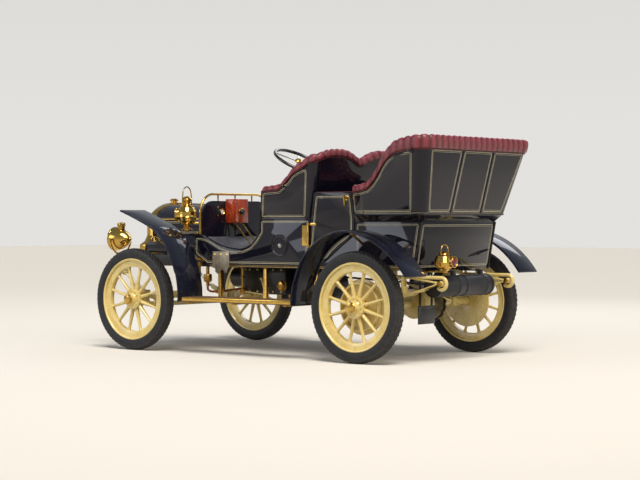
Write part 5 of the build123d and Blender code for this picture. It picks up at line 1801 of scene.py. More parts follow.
@dataclass
class Lamps:
    """Brass lamps: acetylene headlamps, oil side lamps and the ruby tail lamp."""

    head: tuple[float, float, float] = (1.69, 0.35, 0.857)
    head_radius: float = 0.0975
    side: tuple[float, float] = (0.755, 0.485)
    tail: tuple[float, float, float] = (-1.58, 0.33, 0.713)

    def headlamps(self) -> None:
        """Deep spun bowls with a glass, a bezel, a chimney and a forked stand."""
        (x, y, z), r = self.head, self.head_radius
        shape, glass = Shape(), Shape()
        shape.turned(
            [(-0.003, r - 0.012), (0.0, r - 0.008), (0.001, r - 0.002), (-0.003, r + 0.001), (-0.01, r - 0.001),
             (-0.014, r - 0.004), (-0.02, r - 0.002), (-0.026, r - 0.001), (-0.045, r - 0.006), (-0.07, r - 0.013),
             (-0.096, r - 0.024), (-0.12, r - 0.036), (-0.14, r - 0.052), (-0.158, r - 0.068), (-0.166, r - 0.08),
             (-0.17, 0.01), (-0.171, 0.0)], (x, y, z), (1, 0, 0), 56)
        shape.turned([(-0.003, r - 0.012), (-0.03, r - 0.014), (-0.085, r - 0.04), (-0.12, 0.03), (-0.128, 0.0)],
                     (x, y, z), (1, 0, 0), 48)
        shape.turned([(-0.172, 0.0), (-0.17, 0.012), (-0.176, 0.014), (-0.182, 0.008), (-0.188, 0.0)], (x, y, z),
                     (1, 0, 0), 20)
        shape.turned(
            [(r - 0.02, 0.03), (r + 0.006, 0.03), (r + 0.008, 0.035), (r + 0.012, 0.035), (r + 0.014, 0.03),
             (r + 0.024, 0.029), (r + 0.026, 0.034), (r + 0.031, 0.033), (r + 0.036, 0.022), (r + 0.038, 0.0)],
            (x - 0.07, y, z), (0, 0, 1), 32)
        for k in range(8):
            turn = 2 * math.pi * k / 8
            spot = Vector((x - 0.07 + 0.03 * math.cos(turn), y + 0.03 * math.sin(turn), z + r + 0.019))
            shape.box(spot - Vector((0.0025, 0.0025, 0.004)), spot + Vector((0.0025, 0.0025, 0.004)))
        for side in (-1, 1):
            shape.tube([(x - 0.06, y + side * (r - 0.01), z), (x - 0.06, y + side * (r + 0.012), z - 0.01),
                        (x - 0.06, y + side * (r + 0.008), z - 0.05), (x - 0.06, y + side * 0.05, z - r - 0.012),
                        (x - 0.06, y, z - r - 0.022)], 0.0075, sides=12, smooth=True)
            shape.nut((x - 0.06, y + side * (r + 0.01), z - 0.004), (0, side, 0), 0.02, 0.008, 0.004)
        shape.rod((x - 0.06, y, z - r - 0.014), (x - 0.06, y, 0.676), 0.0135, sides=20, edge=0.002)
        shape.rod((x - 0.06, y, z - r - 0.034), (x - 0.06, y, z - r - 0.024), 0.019, sides=20, edge=0.002)
        shape.box((x - 0.22, y - 0.014, 0.676), (x - 0.04, y + 0.014, 0.69), 0.003)
        shape.box((x - 0.22, y - 0.014, 0.676), (x - 0.18, 0.4, 0.69), 0.003)
        glass.turned([(-0.0045, 0.0), (-0.0045, r - 0.01), (-0.002, r - 0.011), (0.0005, r * 0.7),
                      (0.0025, r * 0.35), (0.003, 0.0)], (x, y, z), (1, 0, 0), 48)
        shape.mirror_too().piece("headlamp_bowls", POLISHED_BRASS, Body.CHASSIS, Slot.BRASS, stands_for=["headlamps"])
        glass.mirror_too().piece("headlamp_glasses", CLEAR_GLASS)

    def side_lamps(self) -> None:
        """Round oil lamps with a foot, a ringed chimney, a bull's-eye and a tall bail."""
        x, y = self.side
        shape, glass = Shape(), Shape()
        # columns: height, radius
        shape.turned(
            [(0.93, 0.0), (0.93, 0.046), (0.933, 0.049), (0.938, 0.049), (0.941, 0.044), (0.946, 0.026),
             (0.952, 0.022), (0.962, 0.027), (0.968, 0.024), (0.974, 0.026), (0.981, 0.044), (0.99, 0.058),
             (1.006, 0.068), (1.028, 0.0755), (1.032, 0.078), (1.036, 0.0755), (1.056, 0.0755), (1.072, 0.0745),
             (1.076, 0.077), (1.081, 0.073), (1.098, 0.064), (1.112, 0.054), (1.116, 0.057), (1.12, 0.05),
             (1.124, 0.034), (1.132, 0.031), (1.136, 0.035), (1.14, 0.031), (1.148, 0.031), (1.152, 0.035),
             (1.156, 0.031), (1.162, 0.033), (1.166, 0.041), (1.172, 0.042), (1.178, 0.038), (1.184, 0.03),
             (1.19, 0.024), (1.194, 0.01), (1.196, 0.0)], (x, y, 0), (0, 0, 1), 56)
        forward = Vector((0.8, 0.6, 0.0))
        eye = Vector((x, y, 1.052))
        shape.turned([(0.052, 0.05), (0.078, 0.05), (0.082, 0.053), (0.088, 0.053), (0.091, 0.048),
                      (0.086, 0.044), (0.06, 0.042)], eye, forward, 40)
        glass.turned([(0.078, 0.0), (0.078, 0.046), (0.084, 0.044), (0.089, 0.03), (0.091, 0.0)], eye, forward, 32)
        shape.tube(
            [(x, y - 0.046, 1.088), (x, y - 0.05, 1.14), (x, y - 0.047, 1.205), (x, y - 0.034, 1.248), (x, y, 1.268),
             (x, y + 0.034, 1.248), (x, y + 0.047, 1.205), (x, y + 0.05, 1.14), (x, y + 0.046, 1.088)], 0.0045,
            sides=12, smooth=True)
        shape.rod((x, y, 0.985), (0.702, 0.4135, 0.985), 0.0095, sides=16)
        shape.rod((x, y, 0.918), (x, y, 0.934), 0.012, sides=16, edge=0.002)
        shape.mirror_too().piece("side_lamp_bowls", POLISHED_BRASS, Body.CHASSIS, Slot.BRASS, stands_for=["side_lamps"])
        glass.mirror_too().piece("side_lamp_glasses", CLEAR_GLASS)

    def tail_lamp(self) -> None:
        """A small oil lamp with a ruby glass to the rear and a bail."""
        x, y, z = self.tail
        shape, glass = Shape(), Shape()
        shape.turned(
            [(-0.062, 0.0), (-0.062, 0.036), (-0.058, 0.041), (-0.052, 0.04), (-0.048, 0.046), (-0.04, 0.058),
             (-0.022, 0.067), (-0.004, 0.0725), (0.0, 0.0745), (0.004, 0.0725), (0.022, 0.068), (0.038, 0.06),
             (0.042, 0.062), (0.046, 0.052), (0.052, 0.036), (0.058, 0.033), (0.062, 0.037), (0.066, 0.034),
             (0.07, 0.024), (0.072, 0.0)], (x, y, z), (0, 0, 1), 48)
        shape.turned([(0.06, 0.036), (0.078, 0.036), (0.081, 0.04), (0.086, 0.04), (0.088, 0.035),
                      (0.082, 0.032), (0.066, 0.03)], (x, y, z), (-1, 0, 0), 36)
        glass.turned(
            [(0.076, 0.0), (0.076, 0.033), (0.083, 0.031), (0.089, 0.02), (0.091, 0.0)], (x, y, z), (-1, 0, 0), 32)
        shape.tube(
            [(x, y - 0.04, z + 0.044), (x, y - 0.043, z + 0.08), (x, y - 0.03, z + 0.11), (x, y, z + 0.122),
             (x, y + 0.03, z + 0.11), (x, y + 0.043, z + 0.08), (x, y + 0.04, z + 0.044)], 0.0036, sides=12,
            smooth=True)
        shape.rod((x, y, 0.646), (x, y, z - 0.056), 0.0165, sides=20, edge=0.002)
        shape.box((x - 0.016, y - 0.0145, 0.6375), (-1.4, y + 0.0145, 0.6505), 0.002)
        shape.piece("tail_lamp_bowl", POLISHED_BRASS, Body.CHASSIS, Slot.BRASS, stands_for=["tail_lamp"])
        glass.piece("tail_lamp_glass", RUBY_GLASS)

    def build(self) -> None:
        """Makes the five lamps."""
        self.headlamps()
        self.side_lamps()
        self.tail_lamp()


@dataclass
class Springs:
    """Leaf springs with clips and bolts, and the curled bars that the rear ones hang from."""

    y: float = 0.418
    width: float = 0.044
    leaf: float = 0.009
    count: int = 5
    front_seat: tuple[float, float] = (1.1, 0.368)
    front_reach: float = 0.4
    front_eye: float = 0.586
    rear_seat: tuple[float, float] = (-1.1, 0.428)
    rear_eyes: tuple[float, float] = (-1.617, -0.583)
    rear_eye: float = 0.563
    bar: float = 0.605
    rail: float = 0.65

    def leaves(self, shape: Shape, eye: tuple[float, float], seat: tuple[float, float]) -> None:
        """Half a spring: curved leaves, each shorter than the one above it.

        Args:
            shape: The shape that takes them in.
            eye: x and z of the eye's top leaf.
            seat: x and z of the underside of the pack at the axle.
        """
        pack = self.count * self.leaf
        for k in range(self.count):
            reach = (self.count - k) / self.count - 0.02
            top = pack - k * self.leaf

            def place(u: float, v: float) -> Vector:
                """A point on the leaf."""
                share = v * reach
                x = seat[0] + (eye[0] - seat[0]) * share
                z = seat[1] + (eye[1] - seat[1]) * share ** 2 + top
                a, b = ((-1, 0), (1, 0), (1, -1), (-1, -1))[round(u * 4) % 4]
                taper = 1.0 if v < 0.94 or not k else 1.0 - (v - 0.94) / 0.06 * 0.45
                thin = 0.0 if v in (0.0, 1.0) else self.leaf - 0.0007
                return Vector((x, self.y + a * self.width / 2 * taper, z + b * thin - (0.0 if thin else self.leaf / 2)))

            shape.skin(place, 4, 26, wrap=True)

    def clip(self, shape: Shape, x: float, low: float, high: float) -> None:
        """A band round the leaves, with its bolt."""
        half = self.width / 2 + 0.004
        shape.box((x - 0.011, self.y - half, low), (x + 0.011, self.y + half, high), 0.002)
        shape.nut((x, self.y + half, (low + high) / 2), (0, 1, 0), 0.012, 0.005, 0.003)

    def u_bolts(self, shape: Shape, x: float, top: float, bottom: float) -> None:
        """Two U-bolts over the pack at the axle, with nuts below the beam."""
        half = self.width / 2 + 0.007
        for dx in (-0.028, 0.028):
            for side in (-1, 1):
                spot = (x + dx, self.y + side * half)
                shape.rod((*spot, bottom - 0.012), (*spot, top), 0.006, sides=12)
                shape.nut((*spot, bottom - 0.002), (0, 0, -1), 0.018, 0.008, 0.004)
            shape.rod((x + dx, self.y - half, top), (x + dx, self.y + half, top), 0.006, sides=12)
        shape.box(
            (x - 0.042, self.y - half - 0.006, bottom - 0.002), (x + 0.042, self.y + half + 0.006, bottom + 0.004),
            0.001)

    def front(self) -> None:
        """Front springs under the rail's two hangers."""
        shape = Shape()
        pack = self.count * self.leaf
        (seat_x, seat_z), eye_z = self.front_seat, self.front_eye
        for side in (-1, 1):
            eye_x = seat_x + side * self.front_reach
            self.leaves(shape, (eye_x, 0.6 - pack), self.front_seat)
            shape.rod((eye_x, self.y - 0.024, eye_z), (eye_x, self.y + 0.024, eye_z), 0.0165, sides=24, edge=0.002)
            shape.nut((eye_x, self.y + 0.024, eye_z), (0, 1, 0), 0.022, 0.009, 0.005)
            shape.box((eye_x - 0.01, self.y - 0.022, eye_z), (eye_x + 0.01, self.y + 0.022, self.rail), 0.002)
            self.clip(shape, seat_x + side * 0.16, seat_z + 0.032, seat_z + pack + 0.042)
        self.u_bolts(shape, seat_x, seat_z + pack + 0.004, 0.33)
        shape.mirror_too().piece(
            "front_leaf_springs", CREAM_VARNISH, Body.CHASSIS, Slot.CREAM, stands_for=["front_springs"])

    def rear(self) -> None:
        """Rear springs, hung by links from bars that curl round behind them."""
        shape, bright = Shape(), Shape()
        pack = self.count * self.leaf
        (seat_x, saddle), eye_z, bar = self.rear_seat, self.rear_eye, self.bar
        eye_x_back = self.rear_eyes[0]
        for eye_x in self.rear_eyes:
            self.leaves(shape, (eye_x, eye_z + 0.014 - pack), self.rear_seat)
            shape.rod((eye_x, self.y - 0.022, eye_z), (eye_x, self.y + 0.022, eye_z), 0.0205, sides=28, edge=0.002)
            self.clip(shape, seat_x + math.copysign(0.2, eye_x - seat_x), saddle + 0.045, saddle + pack + 0.068)
        shape.box((-0.595, self.y - 0.022, eye_z), (-0.571, self.y + 0.022, self.rail), 0.002)
        curl = [(-1.2, bar), (-1.4, bar), (-1.56, bar), (eye_x_back, bar)]
        curl += [(eye_x_back - 0.042 * math.sin(t), eye_z + 0.042 * math.cos(t)) for t in
                 (math.pi * k / 12 for k in range(1, 13))]
        curl += [(-1.6, eye_z - 0.039), (-1.59, eye_z - 0.028)]
        shape.tube([(px, self.y, pz) for px, pz in curl], 0.013, sides=16)
        shape.rod((-1.31, self.y, bar), (eye_x_back, self.y, eye_z), 0.008, sides=12)
        for px in (-1.188, -1.358):
            shape.box((px - 0.017, self.y - 0.019, bar), (px + 0.017, self.y + 0.019, self.rail), 0.002)
        shape.box((-1.298, self.y - 0.024, saddle + pack + 0.008), (-1.282, self.y + 0.024, bar), 0.002)
        self.u_bolts(shape, seat_x, saddle + pack + 0.004, 0.372)
        for side in (-1, 1):
            bright.turned([(0.022, 0.0), (0.022, 0.019), (0.028, 0.021), (0.033, 0.015), (0.036, 0.0)],
                          (eye_x_back, self.y, eye_z), (0, side, 0), 20)
        shape.mirror_too().piece(
            "rear_leaf_springs", CREAM_VARNISH, Body.CHASSIS, Slot.CREAM, stands_for=["rear_springs"])
        bright.mirror_too().piece("spring_eye_caps", CAST_BRASS)

    def build(self) -> None:
        """Makes all four springs."""
        self.front()
        self.rear()


@dataclass
class DriverControls:
    """The steering wheel, the dash fittings and what stands on the toe board."""

    centre = Vector((0.28, -0.3, 1.475))
    slope = Vector((0.474, 0.0, -0.88)).normalized()
    radius: float = 0.2
    rim_radius: float = 0.013

    def wheel(self) -> None:
        """A turned rim on four arms, with finger bumps beneath and a brass boss."""
        up = -self.slope
        side = Vector((0, 1, 0))
        ahead = side.cross(up).normalized()
        rim, arms, boss = Shape(), Shape(), Shape()

        def place(u: float, v: float) -> Vector:
            """A point on the rim."""
            turn, ring = 2 * math.pi * v, 2 * math.pi * u
            bump = 0.0016 * max(math.cos(48 * turn), 0.0) * max(-math.sin(ring), 0.0)
            out = ahead * math.cos(turn) + side * math.sin(turn)
            radius = self.rim_radius + bump
            return self.centre + out * (self.radius + radius * math.cos(ring)) + up * radius * math.sin(ring)

        rim.skin(place, 16, 288, wrap=True, wrap_along=True)
        rim.piece("steering_rim", EBONITE, Body.STEERING_WHEEL, Slot.RIM, stands_for=["steering_wheel"])
        for k in range(4):
            turn = math.radians(45 + 90 * k)
            out = ahead * math.cos(turn) + side * math.sin(turn)
            across = up.cross(out)
            outline = [self.centre + out * reach + across * half for reach, half in
                       ((0.02, 0.0095), (0.192, 0.0065), (0.192, -0.0065), (0.02, -0.0095))]
            arms.plate([p - up * 0.004 for p in outline], up * 0.008, 0.0015)
        boss.turned([(-0.092, 0.009), (-0.012, 0.009), (-0.012, 0.026), (-0.009, 0.03), (0.006, 0.03),
                     (0.01, 0.026), (0.012, 0.018), (0.02, 0.016), (0.024, 0.01), (0.025, 0.0)], self.centre, up, 36)
        boss.nut(self.centre + up * 0.01, up, 0.03, 0.008, 0.0)
        arms.piece("steering_arms", NICKEL, Body.STEERING_WHEEL)
        boss.piece("steering_boss", POLISHED_BRASS, Body.STEERING_WHEEL)

    def coil_box(self) -> None:
        """The cherry coil box with its panel lines, knob, dial and screws."""
        x = 0.597
        shape, bright, knob, dial = Shape(), Shape(), Shape(), Shape()
        shape.box((0.597, -0.053, 0.986), (0.68, 0.124, 1.175), 0.004)
        shape.box((0.5945, -0.049, 0.992), (0.6, 0.056, 1.168), 0.0015)
        shape.box((0.5945, 0.066, 0.992), (0.6, 0.12, 1.168), 0.0015)
        bright.turned(
            [(0.0, 0.0), (0.0, 0.03), (0.004, 0.03), (0.007, 0.026), (0.007, 0.0)], (x, 0.03, 1.075), (-1, 0, 0), 36)
        knob.turned([(0.006, 0.0), (0.006, 0.022), (0.012, 0.024), (0.02, 0.023), (0.025, 0.018), (0.026, 0.0)],
                    (x, 0.03, 1.075), (-1, 0, 0), 32)
        dial.turned([(0.0, 0.0), (0.0, 0.021), (0.006, 0.021), (0.008, 0.017), (0.008, 0.0)], (0.679, 0.17, 1.075),
                    (-1, 0, 0), 32)
        bright.turned([(0.0, 0.0215), (0.0, 0.026), (0.01, 0.026), (0.012, 0.022), (0.008, 0.0185)],
                      (0.679, 0.17, 1.075), (-1, 0, 0), 32)
        for y, z in ((0.093, 1.15), (0.093, 1.075), (0.093, 1.01), (0.21, 1.11), (0.21, 1.045)):
            face = x - 0.0025 if y < 0.12 else 0.679
            bright.dome((face, y, z), (-1, 0, 0), 0.0065, 0.004, 12)
        for y in (-0.02, 0.06):
            bright.rod((0.64, y, 0.988), (0.56, y - 0.12, 0.8), 0.0055, sides=12)
        shape.piece("coil_case", CHERRY, Body.CHASSIS, Slot.WOOD, stands_for=["coil_box"])
        knob.piece("coil_knob", EBONITE)
        dial.piece("oil_dial", DIAL_WHITE)
        bright.piece("dash_brass", POLISHED_BRASS)

    def pedals(self) -> None:
        """Three pedals on the toe board and the hand lever on its quadrant."""
        low, high = Vector((0.556, 0, 0.79)), Vector((0.68, 0, 0.88))
        middle = (low + high) / 2
        lift = Vector((0, 1, 0)).cross(low - high).normalized()
        ahead = (high - low).normalized()
        steel, brass = Shape(), Shape()
        for y, height in ((-0.368, 0.075), (-0.232, 0.075), (-0.16, 0.055)):
            foot = middle + Vector((0, y, 0))
            top = foot + lift * height
            steel.rod(foot, top, 0.007, sides=12)
            outline = [top + ahead * a + Vector((0, b, 0)) for a, b in ((-0.036, -0.024), (0.036, -0.024),
                                                                        (0.036, 0.024), (-0.036, 0.024))]
            steel.plate(outline, lift * 0.008, 0.003)
            for k in range(4):
                spot = top + ahead * (-0.024 + 0.016 * k) + lift * 0.008
                steel.box(spot - Vector((0.003, 0.02, 0.001)), spot + Vector((0.003, 0.02, 0.003)))
        steel.box((0.105, -0.413, 0.79), (0.195, -0.397, 0.802), 0.002)
        steel.tube([(0.15, -0.405, 0.796), (0.142, -0.405, 0.86), (0.11, -0.405, 1.02), (0.095, -0.405, 1.12)],
                   0.0085, sides=12, smooth=True)
        brass.turned([(-0.028, 0.009), (-0.016, 0.013), (0.0, 0.018), (0.012, 0.016), (0.019, 0.008), (0.02, 0.0)],
                     (0.093, -0.405, 1.135), (-0.14, 0, 1), 24)
        steel.piece("pedals_and_lever", FORGED_STEEL)
        brass.piece("lever_knob", POLISHED_BRASS)

    def build(self) -> None:
        """Makes the controls."""
        self.wheel()
        self.coil_box()
        self.pedals()


@dataclass
class BodyHardware:
    """Door handles and hinges, hood hinges, running boards, radiator core and the rings on the sides."""

    board_back: float = -0.582
    board_front: float = 0.524
    board_inner: float = 0.56
    board_outer: float = 0.811
    hood_flap_face: float = 0.2748

    def doors(self) -> None:
        """Brass handles and hinge knuckles, which swing with each door."""
        for sign, side, body in ((1, "left", Body.DOOR_LEFT), (-1, "right", Body.DOOR_RIGHT)):
            shape, trim = Shape(), Shape()
            y = 0.4934
            shape.rod((-0.831, y - 0.014, 1.168), (-0.831, y + 0.02, 1.168), 0.0086, sides=16)
            shape.tube([(-0.831, y + 0.02, 1.19), (-0.831, y + 0.024, 1.17), (-0.831, y + 0.021, 1.14),
                        (-0.831, y + 0.019, 1.112)], 0.0082, sides=12, smooth=True)
            shape.turned([(0.0, 0.0), (0.0, 0.02), (0.003, 0.018), (0.005, 0.01), (0.005, 0.0)],
                         (-0.831, 0.486, 1.168), (0, 1, -0.16), 24)
            for z in (0.8117, 0.9783):
                shape.rod((-0.457, 0.471, z - 0.0083), (-0.457, 0.471, z + 0.0083), 0.0076, sides=16, edge=0.001)
                shape.box((-0.53, 0.4625, z - 0.0085), (-0.46, 0.4675, z + 0.0085), 0.001)
                for dx in (-0.52, -0.495):
                    shape.dome((dx, 0.4675, z), (0, 1, 0), 0.0035, 0.002, 8)
            trim.box((-0.87, 0.472, 1.2072), (-0.545, 0.4935, 1.2135), 0.003)
            if sign < 0:
                for part in (shape, trim):
                    bmesh.ops.scale(part.bm, vec=(1, -1, 1), verts=list(part.bm.verts))
            shape.piece(f"door_{side}_brass", POLISHED_BRASS, body)
            trim.piece(f"door_{side}_top_trim", HIDE, body)

    def hood(self) -> None:
        """Brass hinge strips along the hood and a catch at the foot of each flap."""
        strips = Shape()
        for side in (-1, 1):
            strips.rod((0.7, side * 0.271, 1.018), (1.33, side * 0.271, 1.018), 0.008, sides=16, edge=0.001)
        strips.tube([(0.702, 0.0, 1.1245), (1.328, 0.0, 1.1475)], 0.006, sides=12)
        strips.piece("hood_hinge_strips", POLISHED_BRASS)
        for sign, body in ((1, Body.FLAP_LEFT), (-1, Body.FLAP_RIGHT)):
            catch = Shape()
            for x in (0.82, 1.21):
                catch.turned([(0.0, 0.0), (0.0, 0.01), (0.004, 0.009), (0.006, 0.004), (0.016, 0.004), (0.018, 0.007),
                              (0.022, 0.007), (0.024, 0.0)], (x, sign * self.hood_flap_face, 0.912), (0, sign, 0), 20)
            catch.piece(f"hood_catch_{'left' if sign > 0 else 'right'}", POLISHED_BRASS, body)

    def boards(self) -> None:
        """Oak boards under linoleum, with a brass edge strip and its screws."""
        oak, sheet, edge = Shape(), Shape(), Shape()
        back, front, inner, outer = self.board_back, self.board_front, self.board_inner, self.board_outer
        oak.box((back, inner, 0.397), (front, outer, 0.427), 0.003)
        sheet.box((back + 0.012, inner + 0.012, 0.4265), (front - 0.012, outer - 0.012, 0.429), 0.0005)
        for k in range(14):
            y = inner + 0.026 + k * (outer - inner - 0.052) / 13
            sheet.box((back + 0.02, y - 0.003, 0.4288), (front - 0.02, y + 0.003, 0.4303), 0.0006, 1)
        for y in (inner + 0.006, outer - 0.006):
            edge.box((back, y - 0.0065, 0.4262), (front, y + 0.0065, 0.4292), 0.001)
        for x in (back + 0.006, front - 0.006):
            edge.box((x - 0.0065, inner, 0.4262), (x + 0.0065, outer, 0.4292), 0.001)
        edge.box((back, outer - 0.0005, 0.403), (front, outer + 0.0025, 0.4292), 0.001)
        for k in range(12):
            x = back + 0.05 + k * (front - back - 0.1) / 11
            edge.dome((x, outer + 0.0022, 0.416), (0, 1, 0), 0.0045, 0.002, 10)
        oak.mirror_too().piece("running_board_oak", OAK, Body.CHASSIS, Slot.BOARD, stands_for=["running_boards"])
        sheet.mirror_too().piece("running_board_linoleum", LINOLEUM)
        edge.mirror_too().piece("running_board_edges", POLISHED_BRASS)

    def radiator(self, frame: Frame) -> None:
        """The core's upright fins in front of its cross tubes, and the filler on top."""
        core, fins, slab, cap = Shape(), Shape(), Shape(), Shape()
        for k in range(15):
            z = 0.802 + k * 0.0225
            found = frame.meet("radiator_core", (1.36, 0.9, z), (0, -1, 0))
            if found:
                half = found[0].y - 0.001
                core.rod((1.371, -half, z), (1.371, half, z), 0.0065, sides=12)
        arch = []
        for k in range(-48, 49):
            y = k * 0.007
            top = frame.meet("radiator_core", (1.36, y, 1.4), (0, 0, -1))
            low = frame.meet("radiator_core", (1.36, y, 0.5), (0, 0, 1))
            if top and low:
                fins.box((1.36, y - 0.0007, low[0].z + 0.0008), (1.3838, y + 0.0007, top[0].z - 0.0008))
                arch.append(Vector((1.3362, y, top[0].z - 0.0004)))
                base = low[0].z + 0.0004
        slab.plate([Vector((1.3362, arch[0].y, base))] + arch + [Vector((1.3362, arch[-1].y, base))],
                   Vector((0.026, 0, 0)), 0.0)
        core.piece("radiator_tubes", DRAWN_COPPER)
        fins.piece("radiator_fins", CAST_BRASS, smooth=False)
        slab.piece("radiator_block", STOVE_BLACK, Body.CHASSIS, Slot.MUFFLER, stands_for=["radiator_core"])
        cap.turned([(-0.004, 0.03), (0.004, 0.03), (0.006, 0.024), (0.016, 0.023), (0.018, 0.031), (0.03, 0.031),
                    (0.034, 0.026), (0.037, 0.01), (0.037, 0.0)], (1.362, 0.0, 1.1495), (0, 0, 1), 36)
        for k in range(6):
            turn = math.pi / 3 * k
            cap.rod((1.362 + 0.026 * math.cos(turn), 0.026 * math.sin(turn), 1.1695),
                    (1.362 + 0.035 * math.cos(turn), 0.035 * math.sin(turn), 1.1695), 0.005, sides=8)
        cap.piece("radiator_filler", POLISHED_BRASS)

    def side_ovals(self) -> None:
        """Two painted rings on each side, with a plain bright boss in the middle."""
        rings, boss = Shape(), Shape()
        for radius, width in ((0.08, 0.0032), (0.066, 0.0016)):
            rings.turned([(0.0, radius - width), (0.0043, radius), (0.0, radius + width)], (-0.175, 0.463, 0.819),
                         (0, 1, 0), 64)
        boss.turned([(0.0, 0.0), (0.0, 0.017), (0.003, 0.017), (0.005, 0.012), (0.01, 0.01), (0.013, 0.0)],
                    (-0.175, 0.463, 0.819), (0, 1, 0), 28)
        rings.mirror_too().piece("side_rings", LINE_PAINT)
        boss.mirror_too().piece("side_bosses", NICKEL)

    def build(self, frame: Frame) -> None:
        """Makes the hardware."""
        self.doors()
        self.hood()
        self.boards()
        self.radiator(frame)
        self.side_ovals()


@dataclass
class Machinery:
    """The drive and engine fittings below the body, the muffler's bands and the front fender's straps."""

    tooth: float = 0.06
    crank_x: float = -0.01
    crank_z: float = 0.51
    muffler_x: float = -1.52
    muffler_z: float = 0.54
    plate_face: float = 0.4636
    fender_inner: float = 0.5605
    front_axis = Vector((-0.25, -0.165, 0.515))
    rear_axis = Vector((-1.1, -0.165, 0.396))
    front_radius: float = 0.0573
    rear_radius: float = 0.1337

    def loop(self) -> tuple[list[Vector], float]:
        """The chain's closed line round both sprockets, and the angle where its first arc starts."""
        span = self.rear_axis - self.front_axis
        base = math.atan2(span.z, span.x)
        lean = math.acos((self.rear_radius - self.front_radius) / span.length)
        points = []
        first, sweep = base - (math.pi - lean), 2 * (math.pi - lean)
        points += [self.rear_axis + Vector((math.cos(first + sweep * k / 48), 0, math.sin(first + sweep * k / 48)))
                   * self.rear_radius for k in range(49)]
        start, sweep = base + math.pi - lean, 2 * lean
        points += [self.front_axis + Vector((math.cos(start + sweep * k / 24), 0, math.sin(start + sweep * k / 24)))
                   * self.front_radius for k in range(25)]
        return points, first

    def sprocket(self, shape: Shape, centre: Vector, radius: float, teeth: int, phase: float) -> None:
        """A toothed wheel in the chain's plane."""
        outline = []
        for k in range(teeth):
            for turn, height in ((-0.3, -0.01), (-0.14, 0.006), (0.14, 0.006), (0.3, -0.01), (0.5, -0.01)):
                angle = phase + 2 * math.pi * (k + 0.5 + turn) / teeth
                outline.append(centre + Vector((math.cos(angle), 0, math.sin(angle))) * (radius + height)
                               - Vector((0, 0.0045, 0)))
        shape.plate(outline, Vector((0, 0.009, 0)), 0.0)

    def chain(self) -> None:
        """The block chain with its two sprockets and the stub that carries the smaller one."""
        line, first = self.loop()
        closed = line + [line[0]]
        runs = [0.0]
        for a, b in zip(closed, closed[1:]):
            runs.append(runs[-1] + (b - a).length)
        count = round(runs[-1] / self.tooth)

        def at(run: float) -> Vector:
            """The point at a distance along the chain."""
            run %= runs[-1]
            i = max(k for k, value in enumerate(runs) if value <= run)
            i = min(i, len(closed) - 2)
            return closed[i].lerp(closed[i + 1], (run - runs[i]) / max(runs[i + 1] - runs[i], 1e-9))

        links, wheels = Shape(), Shape()
        step = runs[-1] / count
        for k in range(count):
            for middle, reach, width, height, shifts in ((k * step, 0.0135, 0.012, 0.0075, (-0.006,)),
                                                         ((k + 0.5) * step, 0.0235, 0.003, 0.0065, (-0.0095, 0.0065))):
                a, b = at(middle - reach), at(middle + reach)
                along = (b - a).normalized()
                up = along.cross(Vector((0, 1, 0)))
                for shift in shifts:
                    off = Vector((0, shift, 0))
                    outline = [a - along * 0.002 + off, a + up * height + off, b + up * height + off,
                               b + along * 0.002 + off, b - up * height + off, a - up * height + off]
                    links.plate(outline, Vector((0, width, 0)), 0.0)
            for spot in (at(k * step - 0.0105), at(k * step + 0.0105)):
                links.rod(spot - Vector((0, 0.0115, 0)), spot + Vector((0, 0.0115, 0)), 0.0032, sides=8)
        self.sprocket(wheels, self.rear_axis, self.rear_radius, 14, first)
        self.sprocket(wheels, self.front_axis, self.front_radius, 6, first)
        wheels.rod(self.front_axis + Vector((0, 0.046, 0)), self.front_axis - Vector((0, 0.018, 0)), 0.04, sides=32,
                   edge=0.003)
        wheels.rod(self.rear_axis + Vector((0, 0.062, 0)), self.rear_axis - Vector((0, 0.018, 0)), 0.062, sides=40,
                   edge=0.004)
        for k in range(8):
            turn = 2 * math.pi * k / 8
            wheels.nut(self.rear_axis + Vector((0.05 * math.cos(turn), -0.018, 0.05 * math.sin(turn))), (0, -1, 0),
                       0.014, 0.006, 0.003)
        links.piece("drive_chain", FORGED_STEEL)
        wheels.piece("chain_sprockets", SAND_CAST)

    def flywheel(self) -> None:
        """The flywheel on the engine's right side."""
        wheel = Shape()
        wheel.turned(
            [(0.238, 0.0), (0.238, 0.03), (0.248, 0.036), (0.256, 0.04), (0.258, 0.1), (0.248, 0.106), (0.248, 0.132),
             (0.252, 0.136), (0.296, 0.136), (0.3, 0.132), (0.3, 0.108), (0.276, 0.102), (0.276, 0.044), (0.3, 0.038),
             (0.304, 0.03), (0.304, 0.0)], (self.crank_x, 0.0, self.crank_z), (0, -1, 0), 64)
        wheel.nut((self.crank_x, -0.304, self.crank_z), (0, -1, 0), 0.036, 0.014, 0.008)
        wheel.piece("flywheel", CHASSIS_BLACK)

    def castings(self) -> None:
        """Sand-cast plates below the sill, held by three cream screws a side."""
        outline = (
            (0.33, 0.769), (0.5, 0.769), (0.5, 0.642), (0.476, 0.642), (0.47, 0.612), (0.446, 0.596), (0.424, 0.6),
            (0.414, 0.628), (0.392, 0.628), (0.38, 0.606), (0.356, 0.606), (0.346, 0.64), (0.33, 0.648))
        cast, screws = Shape(), Shape()
        cast.plate([(x, self.plate_face, z) for x, z in outline], Vector((0, 0.0067, 0)), 0.0015)
        for x in (0.352, 0.415, 0.478):
            cast.box((x - 0.004, 0.469, 0.65), (x + 0.004, 0.4735, 0.726), 0.001)
            screws.dome((x, 0.4702, 0.746), (0, 1, 0), 0.01, 0.006, 16)
        cast.mirror_too().piece("side_castings", SAND_CAST)
        screws.mirror_too().piece("side_casting_screws", CREAM_VARNISH)

